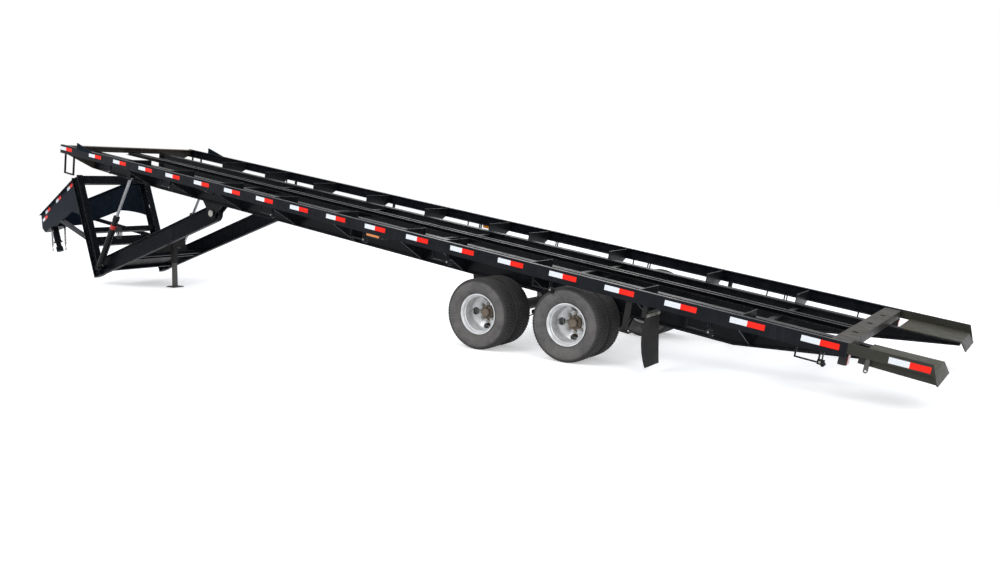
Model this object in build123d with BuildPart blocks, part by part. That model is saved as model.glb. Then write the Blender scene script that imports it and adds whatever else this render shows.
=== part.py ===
from build123d import *
from math import cos, hypot, radians, sin, tan
import os

os.makedirs("parts", exist_ok=True)

# Deck, measured along the deck and square to it. The deck's own frame starts at the front end of
# the rails' top faces: forward is +x, the left side is +y and up is +z.
deck_length = 12180
deck_half_width = 1220
tilt_angle = 8.5
rail_depth = 127
rail_flange = 48
rail_wall = 9
beam_depth = 305
beam_flange = 102
beam_wall = 9
beam_cap = 13
beam_top_drop = 90
beam_centre_y = 620
beam_nose_run = 1700
beam_nose_depth = 265
beam_tail_run = 1690
beam_tail_depth = 30
crossbar_run = 96
crossbar_wall = 9
member_depth = 100
member_flange = 50
member_wall = 7
track_depth = 50
track_width = 44
track_gap = 60
track_wall = 5
tube_run = 150
tube_wall = 8
tube_hole_radius = 28
tube_hole_count = 3
seat_clearance = 0.3
overrun = 5
bracket_plate = 10
lip_length = 100
lip_angle = 32
lip_plate = 10
prong_length = 690
prong_gap = 90
prong_rib = 8
prong_rib_depth = 60
guide_length = 390
guide_height = 82
guide_lap = 22
guide_plate = 12
guide_inset = 455

# Running gear
wheel_radius = 380
wheel_base = 1050
rear_axle_setback = 3251
rear_axle_drop = 530
dual_mid_y = 944
dual_pitch = 270
tyre_width = 232
rim_radius = 203
rim_flange_height = 14
rim_lip_width = 16
rim_barrel_width = 172
rim_wall = 9
rim_well_depth = 11
rim_well_half = 44
disc_plate = 9
disc_flat_radius = 116
disc_edge_radius = 172
disc_bore_radius = 74
hand_hole_radius = 28
hand_hole_length = 82
hand_hole_pitch_radius = 145
hand_hole_count = 4
stud_pitch_radius = 95
stud_count = 8
nut_radius = 16
nut_height = 22
hub_flange = 14
spindle_reach = 55
backing_plate = 8
hub_barrel_radius = 72
hub_barrel_length = 34
hub_cap_radius = 48
hub_cap_length = 40
hub_cap_round = 9
hub_bolt_radius = 9
hub_bolt_height = 11
hub_bolt_count = 8
drum_radius = 152
drum_width = 96
drum_wall = 14
drum_neck_radius = 112
drum_shoulder_length = 43
axle_radius = 63.5
spindle_radius = 40
running_gap = 5
spring_width = 44
spring_leaf = 11
spring_leaf_count = 4
spring_half_span = 380
spring_leaf_step = 66
spring_eye_radius = 26
shackle_radius = 15
rocker_cheek = 7
equalizer_half_run = 172
equalizer_angle = 33
hanger_drop = 162
hanger_plate = 10
hanger_width = 84
hanger_foot_length = 150
seat_plate = 12
ubolt_radius = 8
ubolt_reach = 84
clamp_half_width = 40

# Flaps, lamps and small pieces on the deck
flap_width = 320
flap_height = 470
flap_thickness = 10
flap_gap = 771
flap_outer_gap = 22
flap_bar_size = 40
flap_bar_drop = 205
post_gap = 626
post_width = 60
post_drop = 430
lamp_inset = 95
lamp_round = 8
lamp_width = 90
lamp_height = 112
lamp_depth = 60
lens_thickness = 14
marker_place_share = 0.523
marker_length = 190
marker_height = 30
marker_depth = 22
loop_width = 205
loop_drop = 105
loop_bar = 13
loop_inset = 30
hook_loop_run = 215
hook_loop_width = 250
hook_loop_drop = 300
hook_loop_bar = 22
hook_plate = 14
hook_length = 120
hook_width = 36
hook_hole_radius = 9
hook_gap = 165

# Neck, with its own frame at the hinge pin: forward along the arms, and up square to them
pin_run = 2960
pin_drop = 535
fold_angle = 27.5
arm_depth = 250
arm_flange = 70
arm_wall = 8
arm_cap = 11
arm_centre_y = 620
pin_radius = 32
pin_gap = 0.1
boss_radius = 62
boss_side_gap = 1
lug_plate = 20
lug_gap = 6
lug_front = 210
lug_tail = 200
lug_radius = 78
post_rear_run = 2990
post_depth = 170
post_flange = 102
post_top = 1560
post_wall = 9
post_cap = 13
post_hole_level = 1030
post_hole_radius = 30
top_bar_height = 130
mid_bar_level = 600
mid_bar_height = 80
low_bar_level = 380
low_bar_height = 140
bar_depth = 90
bar_wall = 8
nose_run = 5260
nose_toe_reach = 110
nose_half_width = 80
nose_toe_level = 1330
nose_floor_level = 1225
nose_floor_length = 380
side_plate = 12
side_cap = 80
side_root_y = 600
side_belly_share = 0.667
side_belly_level = 1150
arch_share = 0.257
arch_sag = 46
gusset_low_level = 880
brace_size = 60
brace_foot_level = 480
brace_head_share = 0.543
stem_setback = 200
stem_radius = 57
stem_length = 235
stem_flange_radius = 78
stem_flange = 14
inner_stem_radius = 44
inner_stem_length = 100
socket_radius = 60
socket_length = 82
ball_radius = 29.4
ball_depth = 50
chain_link_length = 52
chain_link_width = 36
chain_wire = 10
chain_link_count = 10
chain_setback = 300
chain_ear_radius = 22
chain_ear_drop = 38
chain_ear_plate = 8
chain_ear_inset = 30
chain_hole_radius = 12
unit_rear_run = 2050
unit_length = 830
unit_width = 780
unit_height = 250
unit_round = 25
unit_lid_height = 40
unit_lid_edge = 12
tray_level = -60
tray_bar = 50
tray_wall = 5
tray_inset = 90
jack_run = 1870
jack_tube = 76
jack_tube_above = 250
jack_tube_below = 260
jack_leg_size = 62
jack_foot_length = 190
jack_foot_plate = 14
jack_head_size = 100
jack_head_height = 70
jack_crank_radius = 11
jack_crank_length = 170
jack_beam_run = 1985
jack_beam_size = 50
jack_bracket_width = 60
jack_leg_overlap = 150

# Lift cylinders
cylinder_y = 722
base_run = 2900
base_drop = 20
top_run = 1100
top_drop = 330
barrel_radius = 44
barrel_cap_radius = 50
barrel_cap_length = 60
barrel_length = 985
rod_radius = 22
eye_radius = 34
eye_width = 48
cylinder_pin_radius = 16
lug_side_gap = 2
ear_plate = 14
ear_radius = 42
ear_half_run = 58
shelf_drop = 190
shelf_plate = 16
stub_radius = 36
barrel_foot = 44
barrel_wall = 7
piston_length = 70
piston_gap = 102.2

# Places that repeat, the last three as shares of the run from the deck's front to its rear tube
SIDES = (1, -1)
member_shares = (0.2822, 0.4409, 0.5952, 0.7584, 0.9347)
bracket_shares = (0.1323, 0.2205, 0.313, 0.4056, 0.4982, 0.5908, 0.6437, 0.7412, 0.8466, 0.932)
loop_shares = (0.0926, 0.216, 0.3951, 0.5309, 0.6367, 0.7496, 0.8933, 0.978)

# Axes of the deck and of the neck in the part's frame, at rest
forward = Vector(cos(radians(tilt_angle)), 0, sin(radians(tilt_angle)))
upward = Vector(-sin(radians(tilt_angle)), 0, cos(radians(tilt_angle)))
neck_slope = fold_angle - tilt_angle
neck_forward = Vector(cos(radians(neck_slope)), 0, -sin(radians(neck_slope)))
neck_upward = Vector(sin(radians(neck_slope)), 0, cos(radians(neck_slope)))
across = Vector(0, 1, 0)
left_normal = Vector(0, -1, 0)

# The rear wheels' centre fixes the deck's height. The whole part is centred on its length.
rear_axle_run = deck_length - rear_axle_setback
nose_toe_run = nose_run + nose_toe_reach
lip_reach = lip_length * sin(radians(lip_angle))
lip_drop = lip_length * cos(radians(lip_angle))
lip_end = lip_plate - beam_top_drop - lip_drop
deck_from_wheel = forward * rear_axle_run + upward * rear_axle_drop
pin_from_wheel = deck_from_wheel - forward * pin_run - upward * pin_drop
nose_from_wheel = pin_from_wheel + neck_forward * nose_toe_run + neck_upward * nose_toe_level
tail_from_wheel = deck_from_wheel - forward * deck_length + upward * lip_end
rear_wheel_x = -(nose_from_wheel.X + tail_from_wheel.X) / 2
rear_wheel = Vector(rear_wheel_x, 0, wheel_radius)
front_wheel = rear_wheel + Vector(wheel_base, 0, 0)
deck_zero = rear_wheel + deck_from_wheel
pin_zero = rear_wheel + pin_from_wheel


def deck_point(run, y, height):
    """A place on the deck: run goes back from its front end."""
    return deck_zero - forward * run + across * y + upward * height


def neck_point(run, y, level):
    """A place on the neck: run goes forward from the hinge pin."""
    return pin_zero + neck_forward * run + across * y + neck_upward * level


def deck_side(y):
    """The upright plane along the deck at y, drawn from the deck's front end."""
    return Plane(origin=deck_point(0, y, 0), x_dir=forward, z_dir=left_normal)


def deck_slice(run):
    """The plane across the deck at a run, drawn with x to the right side and y up."""
    return Plane(origin=deck_point(run, 0, 0), x_dir=-across, z_dir=-forward)


def deck_flat(height):
    """The plane along the deck at a height over it."""
    return Plane(origin=deck_point(0, 0, height), x_dir=forward, z_dir=upward)


def neck_side(y):
    """The upright plane along the neck at y, drawn from the hinge pin."""
    return Plane(origin=neck_point(0, y, 0), x_dir=neck_forward, z_dir=left_normal)


def neck_flat(level):
    """The plane along the arms at a level over the hinge pin."""
    return Plane(origin=neck_point(0, 0, level), x_dir=neck_forward, z_dir=neck_upward)


def world_side(place):
    """The upright plane through a place, drawn level."""
    return Plane(origin=place, x_dir=Vector(1, 0, 0), z_dir=left_normal)


def deck_run_of(place):
    """How far a place lies behind the deck's front end."""
    return -(place - deck_zero).dot(forward)


def deck_height_of(place):
    """How high a place lies over the deck's plane."""
    return (place - deck_zero).dot(upward)


tube_run_start = deck_length - prong_length - tube_run
tube_run_end = tube_run_start + tube_run
tube_depth = beam_top_drop - rail_wall
beam_tail = deck_length - lip_reach - lip_plate
beam_top = -beam_top_drop
beam_bottom = beam_top - beam_depth


def beam_low(run):
    """The height of a main beam's lower edge at a run."""
    nose_share = max(0, 1 - run / beam_nose_run)
    tail_share = max(0, 1 - (beam_tail - run) / beam_tail_run)
    rise = nose_share * (beam_depth - beam_nose_depth) + tail_share * (beam_depth - beam_tail_depth)
    return beam_bottom + rise


# Main beams: deep webs with caps, shallower at both ends
with BuildPart() as main_beams:
    for side in SIDES:
        y = side * beam_centre_y
        outline = [
            (-crossbar_wall, beam_top),
            (-beam_tail, beam_top),
            (-beam_tail, beam_top - beam_tail_depth),
            (-beam_tail + beam_tail_run, beam_bottom),
            (-beam_nose_run, beam_bottom),
            (-crossbar_wall, beam_low(crossbar_wall)),
        ]
        with BuildSketch(deck_side(y)):
            with BuildLine():
                Polyline(*outline, close=True)
            make_face()
        extrude(amount=beam_wall / 2, both=True)
        with BuildSketch(deck_side(y)):
            with BuildLine():
                Polyline(
                    outline[0],
                    outline[1],
                    (-beam_tail, beam_top - beam_cap),
                    (-crossbar_wall, beam_top - beam_cap),
                    close=True,
                )
            make_face()
            with BuildLine():
                Polyline(
                    *outline[2:],
                    (-crossbar_wall, beam_low(crossbar_wall) + beam_cap),
                    (-beam_nose_run, beam_bottom + beam_cap),
                    (-beam_tail + beam_tail_run, beam_bottom + beam_cap),
                    (-beam_tail, beam_top - beam_tail_depth + beam_cap),
                    close=True,
                )
            make_face()
        extrude(amount=beam_flange / 2, both=True)

# Side rails: channels that open inwards
with BuildPart() as side_rails:
    for side in SIDES:
        y = side * deck_half_width
        with BuildSketch(deck_slice(0)):
            with BuildLine():
                Polyline(
                    (-y, 0),
                    (-y + side * rail_flange, 0),
                    (-y + side * rail_flange, -rail_wall),
                    (-y + side * rail_wall, -rail_wall),
                    (-y + side * rail_wall, rail_wall - rail_depth),
                    (-y + side * rail_flange, rail_wall - rail_depth),
                    (-y + side * rail_flange, -rail_depth),
                    (-y, -rail_depth),
                    close=True,
                )
            make_face()
        extrude(amount=tube_run_end)

# Front crossbar: a deep channel between the rails over the beams' noses
with BuildPart() as front_crossbar:
    inner_half = deck_half_width - rail_wall
    with BuildSketch(deck_side(0)):
        with BuildLine():
            Polyline(
                (0, -rail_wall),
                (-crossbar_run, -rail_wall),
                (-crossbar_run, -rail_wall - crossbar_wall),
                (-crossbar_wall, -rail_wall - crossbar_wall),
                (-crossbar_wall, beam_top - crossbar_wall),
                (0, beam_top - crossbar_wall),
                close=True,
            )
        make_face()
    extrude(amount=inner_half, both=True)
    for side in SIDES:
        cap = side * (beam_centre_y + beam_flange / 2)
        with BuildSketch(deck_slice(0)):
            with BuildLine():
                Polyline(
                    (-cap + side * beam_flange, beam_top - crossbar_wall),
                    (-side * inner_half, beam_top - crossbar_wall),
                    (-side * inner_half, rail_wall - rail_depth),
                    (-side * (deck_half_width - rail_flange), rail_wall - rail_depth),
                    (-cap, beam_low(0)),
                    (-cap + side * beam_flange, beam_low(0)),
                    close=True,
                )
            make_face()
        extrude(amount=crossbar_wall)

# Crossmembers between the main beams
member_top = beam_top - beam_cap - track_depth / 2
with BuildPart() as crossmembers:
    for share in member_shares:
        run = share * tube_run_start
        with BuildSketch(deck_side(0)):
            with BuildLine():
                Polyline(
                    (-run, member_top),
                    (-run - member_flange, member_top),
                    (-run - member_flange, member_top - member_wall),
                    (-run - member_wall, member_top - member_wall),
                    (-run - member_wall, member_top - member_depth + member_wall),
                    (-run - member_flange, member_top - member_depth + member_wall),
                    (-run - member_flange, member_top - member_depth),
                    (-run, member_top - member_depth),
                    close=True,
                )
            make_face()
        extrude(amount=beam_centre_y - beam_wall / 2, both=True)

# Centre track: two small channels that lie on the crossmembers
with BuildPart() as centre_track:
    for side in SIDES:
        inner = side * track_gap / 2
        with BuildSketch(deck_slice(crossbar_wall)):
            with BuildLine():
                Polyline(
                    (-inner, member_top + track_depth),
                    (-inner - side * track_width, member_top + track_depth),
                    (-inner - side * track_width, member_top + track_depth - track_wall),
                    (-inner - side * track_wall, member_top + track_depth - track_wall),
                    (-inner - side * track_wall, member_top + track_wall),
                    (-inner - side * track_width, member_top + track_wall),
                    (-inner - side * track_width, member_top),
                    (-inner, member_top),
                    close=True,
                )
            make_face()
        extrude(amount=tube_run_start - crossbar_wall)

# Outriggers: deep plates from the beams' webs, which rise from the beams' feet to the rails
with BuildPart() as outriggers:
    for share in bracket_shares:
        run = share * tube_run_start
        foot = max(beam_low(run), beam_low(run + bracket_plate)) + beam_cap
        for side in SIDES:
            web = side * (beam_centre_y + beam_wall / 2)
            cap = side * (beam_centre_y + beam_flange / 2)
            rail_web = side * (deck_half_width - rail_wall)
            rail_lip = side * (deck_half_width - rail_flange)
            with BuildSketch(deck_slice(run)):
                with BuildLine():
                    Polyline(
                        (-web, beam_top - beam_cap),
                        (-cap, beam_top - beam_cap),
                        (-cap, -rail_wall),
                        (-rail_web, -rail_wall),
                        (-rail_web, -rail_depth + rail_wall),
                        (-rail_lip, -rail_depth + rail_wall),
                        (-cap, foot),
                        (-web, foot),
                        close=True,
                    )
                make_face()
            extrude(amount=bracket_plate)

# Rear cross tube: a hollow box between the rails with lightening holes
with BuildPart() as rear_cross_tube:
    tube_mid = -tube_run_start - tube_run / 2
    with BuildSketch(deck_side(0)):
        with Locations((tube_mid, -rail_wall - tube_depth / 2)):
            Rectangle(tube_run, tube_depth)
            Rectangle(tube_run - 2 * tube_wall, tube_depth - 2 * tube_wall, mode=Mode.SUBTRACT)
    extrude(amount=deck_half_width - rail_wall, both=True)
    with BuildSketch(deck_flat(0)):
        with Locations((tube_mid, 0)):
            with GridLocations(0, deck_half_width / 2, 1, tube_hole_count):
                Circle(tube_hole_radius)
    extrude(amount=-rail_wall - tube_wall - overrun, mode=Mode.SUBTRACT)

# Approach prongs: a low plate on each beam's tail with a curb on its outer edge and a turned-down lip
with BuildPart() as approach_plates:
    plate_inner = beam_centre_y - beam_flange / 2
    plate_top = beam_top + lip_plate
    plate_run = tube_run_end + prong_gap
    fold_run = deck_length - lip_reach
    for side in SIDES:
        plate_mid = side * (plate_inner + deck_half_width) / 2
        with BuildSketch(deck_side(plate_mid)):
            with BuildLine():
                Polyline(
                    (-plate_run, plate_top),
                    (-fold_run, plate_top),
                    (-deck_length, lip_end),
                    (-deck_length + lip_plate, lip_end),
                    (-fold_run + lip_plate / 2, beam_top),
                    (-plate_run, beam_top),
                    close=True,
                )
            make_face()
        extrude(amount=(deck_half_width - plate_inner) / 2, both=True)
        with BuildSketch(deck_side(side * (deck_half_width - rail_wall / 2))):
            with BuildLine():
                Polyline(
                    (-tube_run_end, 0),
                    (-fold_run + lip_plate, 0),
                    (-deck_length + lip_plate / 2, lip_end),
                    (-deck_length + lip_plate, lip_end),
                    (-fold_run + lip_plate / 2, beam_top),
                    (-tube_run_end, beam_top),
                    close=True,
                )
            make_face()
        extrude(amount=rail_wall / 2, both=True)
        with BuildSketch(deck_side(side * (deck_half_width - rail_flange))):
            with BuildLine():
                Polyline(
                    (-plate_run, beam_top),
                    (-fold_run + lip_plate / 2, beam_top),
                    (-deck_length + lip_plate, lip_end),
                    (-plate_run, beam_top - prong_rib_depth),
                    close=True,
                )
            make_face()
        extrude(amount=prong_rib / 2, both=True)

# Container guides: plates lapped on the rails' outer faces near the front
with BuildPart() as front_guides:
    for side in SIDES:
        with BuildSketch(deck_side(side * (deck_half_width + guide_plate / 2))):
            with BuildLine():
                Polyline(
                    (-guide_inset, -guide_lap),
                    (-guide_inset - guide_length, -guide_lap),
                    (-guide_inset - guide_length, 0),
                    (-guide_inset - guide_plate, guide_height),
                    (-guide_inset, guide_height),
                    close=True,
                )
            make_face()
        extrude(amount=guide_plate / 2, both=True)

# Tie loops under the rails, and the tall loop at each front corner
with BuildPart() as tie_loops:
    for side in SIDES:
        loop_y = side * (deck_half_width - loop_inset)
        for share in loop_shares:
            run = share * tube_run_start
            with BuildSketch(deck_side(loop_y)):
                with Locations((-run - loop_width / 2, -rail_depth - loop_drop / 2)):
                    Rectangle(loop_width, loop_drop)
                with Locations((-run - loop_width / 2, -rail_depth - (loop_drop - loop_bar) / 2)):
                    Rectangle(loop_width - 2 * loop_bar, loop_drop - loop_bar, mode=Mode.SUBTRACT)
            extrude(amount=loop_bar / 2, both=True)
        with BuildSketch(deck_side(loop_y)):
            with Locations((-hook_loop_run, -rail_depth - hook_loop_drop / 2)):
                Rectangle(hook_loop_width, hook_loop_drop)
            with Locations((-hook_loop_run, -rail_depth - (hook_loop_drop - hook_loop_bar) / 2)):
                Rectangle(
                    hook_loop_width - 2 * hook_loop_bar,
                    hook_loop_drop - hook_loop_bar,
                    mode=Mode.SUBTRACT,
                )
        extrude(amount=hook_loop_bar / 2, both=True)

# Running gear places, seen from the deck
rear_run = deck_run_of(rear_wheel)
front_run = deck_run_of(front_wheel)
pivot_run = (rear_run + front_run) / 2
eye_height = beam_bottom - hanger_drop + spring_eye_radius
rocker_rise = equalizer_half_run * sin(radians(equalizer_angle))
rocker_reach = equalizer_half_run * cos(radians(equalizer_angle))
front_eye = (front_run - spring_half_span, eye_height)
rocker_front_eye = (pivot_run - rocker_reach, eye_height - rocker_rise)
rocker_rear_eye = (pivot_run + rocker_reach, eye_height + rocker_rise)
rear_eye = (rear_run + spring_half_span, eye_height)
shackle_hole = shackle_radius + seat_clearance
AXLES = (
    (front_wheel, front_eye, rocker_front_eye),
    (rear_wheel, rocker_rear_eye, rear_eye),
)

# Spring hangers: a pair of plates with a pin at each place
with BuildPart() as spring_hangers:
    for run in (front_eye[0], pivot_run, rear_eye[0]):
        for side in SIDES:
            for flank in SIDES:
                y = side * beam_centre_y + flank * (hanger_width - hanger_plate) / 2
                with BuildSketch(deck_side(y)):
                    with BuildLine():
                        Polyline(
                            (-run - hanger_foot_length / 2, beam_bottom),
                            (-run + hanger_foot_length / 2, beam_bottom),
                            (-run + spring_eye_radius, eye_height - spring_eye_radius),
                            (-run - spring_eye_radius, eye_height - spring_eye_radius),
                            close=True,
                        )
                    make_face()
                extrude(amount=hanger_plate / 2, both=True)
            with BuildSketch(deck_side(side * beam_centre_y)):
                with Locations((-run, eye_height)):
                    Circle(shackle_radius)
            extrude(amount=hanger_width / 2 + hanger_plate, both=True)

def spring_plane(wheel, low_eye, high_eye, y):
    """The upright plane along a spring, drawn from the axle's centre along the line of its eyes."""
    line = deck_point(low_eye[0], 0, low_eye[1]) - deck_point(high_eye[0], 0, high_eye[1])
    return Plane(origin=wheel + across * y, x_dir=line.normalized(), z_dir=left_normal)


# Leaf springs: curved leaves under each axle, shorter towards the bottom, with an eye at each end
with BuildPart() as leaf_springs:
    for wheel, low_eye, high_eye in AXLES:
        flat_plane = spring_plane(wheel, low_eye, high_eye, 0)
        seat_height = -axle_radius - seat_plate
        eye_places = [
            flat_plane.to_local_coords(deck_point(run, 0, height))
            for run, height in (low_eye, high_eye)
        ]
        for side in SIDES:
            leaf_plane = spring_plane(wheel, low_eye, high_eye, side * beam_centre_y)
            for index in range(spring_leaf_count):
                reach_share = 1 - index * spring_leaf_step / spring_half_span
                camber_share = axle_radius / min(abs(eye.X) for eye in eye_places)
                ends = []
                for eye in eye_places:
                    rise = eye.Y - shackle_hole - seat_height
                    ends.append(
                        (
                            eye.X * reach_share,
                            seat_height + rise * reach_share * reach_share - index * spring_leaf,
                        )
                    )
                sag = rise * camber_share * camber_share / 2 + seat_clearance
                middle = (0, seat_height - sag - index * spring_leaf)
                with BuildSketch(leaf_plane):
                    with BuildLine():
                        upper = ThreePointArc(ends[0], middle, ends[1])
                        lower = ThreePointArc(
                            (ends[0][0], ends[0][1] - spring_leaf),
                            (middle[0], middle[1] - spring_leaf),
                            (ends[1][0], ends[1][1] - spring_leaf),
                        )
                        Line(upper @ 0, lower @ 0)
                        Line(upper @ 1, lower @ 1)
                    make_face()
                extrude(amount=spring_width / 2, both=True)
            with BuildSketch(leaf_plane):
                with Locations(*[(eye.X, eye.Y) for eye in eye_places]):
                    Circle(spring_eye_radius)
            extrude(amount=spring_width / 2, both=True)
            with BuildSketch(leaf_plane):
                with Locations(*[(eye.X, eye.Y) for eye in eye_places]):
                    Circle(shackle_hole)
            extrude(amount=spring_width / 2, both=True, mode=Mode.SUBTRACT)

# Rockers: two cheeks that turn on the middle hanger and hold a spring eye at each end
with BuildPart() as rockers:
    for side in SIDES:
        y = side * beam_centre_y
        for flank in SIDES:
            cheek_y = y + flank * (spring_width / 2 + seat_clearance + rocker_cheek / 2)
            with BuildSketch(deck_side(cheek_y)):
                with Locations((-pivot_run, eye_height)):
                    SlotCenterToCenter(
                        2 * equalizer_half_run, 2 * spring_eye_radius, rotation=-equalizer_angle
                    )
                    Circle(shackle_hole, mode=Mode.SUBTRACT)
            extrude(amount=rocker_cheek / 2, both=True)
        with BuildSketch(deck_side(y)):
            with Locations(*[(-run, height) for run, height in (rocker_front_eye, rocker_rear_eye)]):
                Circle(shackle_radius)
        extrude(amount=spring_width / 2 + seat_clearance + rocker_cheek, both=True)
        with BuildSketch(deck_side(y)):
            with Locations((-pivot_run, eye_height)):
                Circle(spring_eye_radius)
                Circle(shackle_hole, mode=Mode.SUBTRACT)
        extrude(amount=spring_width / 2 + seat_clearance, both=True)

# Axles: a tube with spindles and backing plates, and a clamp at each spring
hub_face_y = dual_mid_y - disc_plate
drum_back_y = hub_face_y - hub_flange - drum_width + drum_wall
spring_stack = spring_leaf * spring_leaf_count + spring_leaf / 2
axle_parts = []
for wheel, low_eye, high_eye in AXLES:
    with BuildPart() as axle:
        with BuildSketch(world_side(wheel)):
            Circle(axle_radius)
        extrude(amount=drum_back_y - running_gap, both=True)
        with BuildSketch(world_side(wheel)):
            Circle(spindle_radius)
        extrude(amount=dual_mid_y + spindle_reach, both=True)
        for side in SIDES:
            plate_y = side * (drum_back_y - running_gap - backing_plate / 2)
            with BuildSketch(world_side(wheel + across * plate_y)):
                Circle(drum_radius)
            extrude(amount=backing_plate / 2, both=True)
            clamp_plane = spring_plane(wheel, low_eye, high_eye, side * beam_centre_y)
            clamp_low = -axle_radius - 2 * seat_plate - spring_stack
            with BuildSketch(clamp_plane):
                with Locations((0, -axle_radius - seat_plate / 2 + axle_radius / 4)):
                    Rectangle(axle_radius, seat_plate + axle_radius / 2)
                with Locations((0, clamp_low + seat_plate / 2)):
                    Rectangle(2 * ubolt_reach, seat_plate)
                with Locations((0, axle_radius + seat_plate / 2)):
                    Rectangle(2 * ubolt_reach, seat_plate)
            extrude(amount=clamp_half_width, both=True)
            with BuildSketch(
                Plane(
                    origin=clamp_plane.from_local_coords(Vector(0, clamp_low, 0)),
                    x_dir=clamp_plane.x_dir,
                    z_dir=clamp_plane.y_dir,
                )
            ):
                with GridLocations(
                    2 * (ubolt_reach - ubolt_radius), 2 * (clamp_half_width - ubolt_radius), 2, 2
                ):
                    Circle(ubolt_radius)
            extrude(amount=spring_stack + 3 * seat_plate + 2 * axle_radius)
    axle_parts.append(axle)
front_axle, rear_axle = axle_parts


# Wheels: on each end of each axle two tyres, two rims bolted back to back, and a hub with its drum
def ring_face(points, wheel):
    """The face of points given as distance along the axle and radius, to turn round the axle."""
    with BuildSketch(Plane(origin=wheel, x_dir=across, z_dir=Vector(1, 0, 0))) as ring:
        with BuildLine():
            Polyline(*points, close=True)
        make_face()
    return ring.sketch


tyre_half = tyre_width / 2
tyre_outline_shares = (
    (0.90, 0.23),
    (0.99, 0.42),
    (1.0, 0.56),
    (0.95, 0.84),
    (0.88, 0.94),
    (0.76, 0.985),
    (0.38, 1.0),
)
wheel_sets = {}
for wheel_name, wheel in (("front", front_wheel), ("rear", rear_wheel)):
    for side_name, side in (("left", 1), ("right", -1)):
        with BuildPart() as tyres:
            for centre in (dual_mid_y - dual_pitch / 2, dual_mid_y + dual_pitch / 2):
                tread = wheel_radius - rim_radius
                bead = rim_barrel_width / 2 - rim_lip_width - seat_clearance
                half_outline = [(bead, rim_radius), (bead, rim_radius + rim_flange_height)]
                half_outline += [
                    (across_share * tyre_half, rim_radius + up_share * tread)
                    for across_share, up_share in tyre_outline_shares
                ]
                outline = [(side * (centre + x), r) for x, r in half_outline]
                outline += [(side * (centre - x), r) for x, r in reversed(half_outline)]
                revolve(ring_face(outline, wheel), axis=Axis(wheel, across))
        with BuildPart() as rims:
            rim_half = rim_barrel_width / 2
            for turn in SIDES:
                mid = side * dual_mid_y
                step = side * turn
                far = dual_pitch / 2 + rim_half
                near = dual_pitch / 2 - rim_half
                inner_radius = rim_radius - seat_clearance
                mouth_radius = rim_radius + rim_flange_height
                well_radius = inner_radius - rim_well_depth
                well_mid = dual_pitch / 2
                rim_section = ring_face(
                    [
                        (mid, disc_bore_radius),
                        (mid + step * disc_plate, disc_bore_radius),
                        (mid + step * disc_plate, disc_flat_radius),
                        (mid + step * near, disc_edge_radius),
                        (mid + step * (near + rim_lip_width), well_radius - rim_wall),
                        (mid + step * (well_mid + rim_well_half), well_radius - rim_wall),
                        (
                            mid + step * (well_mid + rim_well_half + rim_well_depth),
                            inner_radius - rim_wall,
                        ),
                        (mid + step * (far - rim_lip_width), inner_radius - rim_wall),
                        (mid + step * far, mouth_radius - rim_wall),
                        (mid + step * far, mouth_radius),
                        (mid + step * (far - rim_wall), mouth_radius),
                        (mid + step * (far - rim_lip_width), inner_radius),
                        (mid + step * (well_mid + rim_well_half + rim_well_depth), inner_radius),
                        (mid + step * (well_mid + rim_well_half), well_radius),
                        (mid + step * (near + rim_lip_width), well_radius),
                        (mid + step * (near + rim_lip_width), inner_radius),
                        (mid + step * (near + rim_wall), mouth_radius),
                        (mid + step * near, mouth_radius),
                        (mid + step * near, inner_radius - rim_wall),
                        (mid, disc_flat_radius + rim_wall),
                    ],
                    wheel,
                )
                revolve(rim_section, axis=Axis(wheel, across))
            outer_face = Plane(
                origin=wheel + across * side * (dual_mid_y + disc_plate),
                x_dir=Vector(1, 0, 0),
                z_dir=across * side,
            )
            with BuildSketch(outer_face):
                with PolarLocations(hand_hole_pitch_radius, hand_hole_count):
                    SlotOverall(hand_hole_length, 2 * hand_hole_radius, rotation=90)
            extrude(amount=near, both=True, mode=Mode.SUBTRACT)
            with BuildSketch(outer_face):
                with PolarLocations(stud_pitch_radius, stud_count):
                    RegularPolygon(nut_radius, 6)
            extrude(amount=nut_height)
        with BuildPart() as hub:
            hub_face = side * hub_face_y
            flange_back = side * (hub_face_y - hub_flange)
            drum_open = side * drum_back_y
            barrel_end = side * (dual_mid_y + disc_plate + hub_barrel_length)
            cap_end = side * (dual_mid_y + disc_plate + hub_barrel_length + hub_cap_length)
            bore_end = side * (dual_mid_y + spindle_reach + running_gap)
            bore = spindle_radius + pin_gap
            hub_section = ring_face(
                [
                    (flange_back, bore),
                    (flange_back, drum_neck_radius - drum_wall),
                    (flange_back - side * drum_shoulder_length, drum_radius),
                    (drum_open, drum_radius),
                    (drum_open, drum_radius + drum_wall),
                    (hub_face - side * drum_shoulder_length, drum_radius + drum_wall),
                    (hub_face, drum_neck_radius),
                    (hub_face, hub_barrel_radius),
                    (barrel_end, hub_barrel_radius),
                    (barrel_end, hub_cap_radius),
                    (cap_end - side * hub_cap_round, hub_cap_radius),
                    (cap_end, hub_cap_radius - hub_cap_round),
                    (cap_end, 0),
                    (bore_end, 0),
                    (bore_end, bore),
                ],
                wheel,
            )
            revolve(hub_section, axis=Axis(wheel, across))
            with BuildSketch(
                Plane(
                    origin=wheel + across * barrel_end,
                    x_dir=Vector(1, 0, 0),
                    z_dir=across * side,
                )
            ):
                with PolarLocations((hub_barrel_radius + hub_cap_radius) / 2, hub_bolt_count):
                    RegularPolygon(hub_bolt_radius, 6)
            extrude(amount=hub_bolt_height)
        wheel_sets[wheel_name + "_" + side_name] = (tyres, rims, hub)

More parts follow.
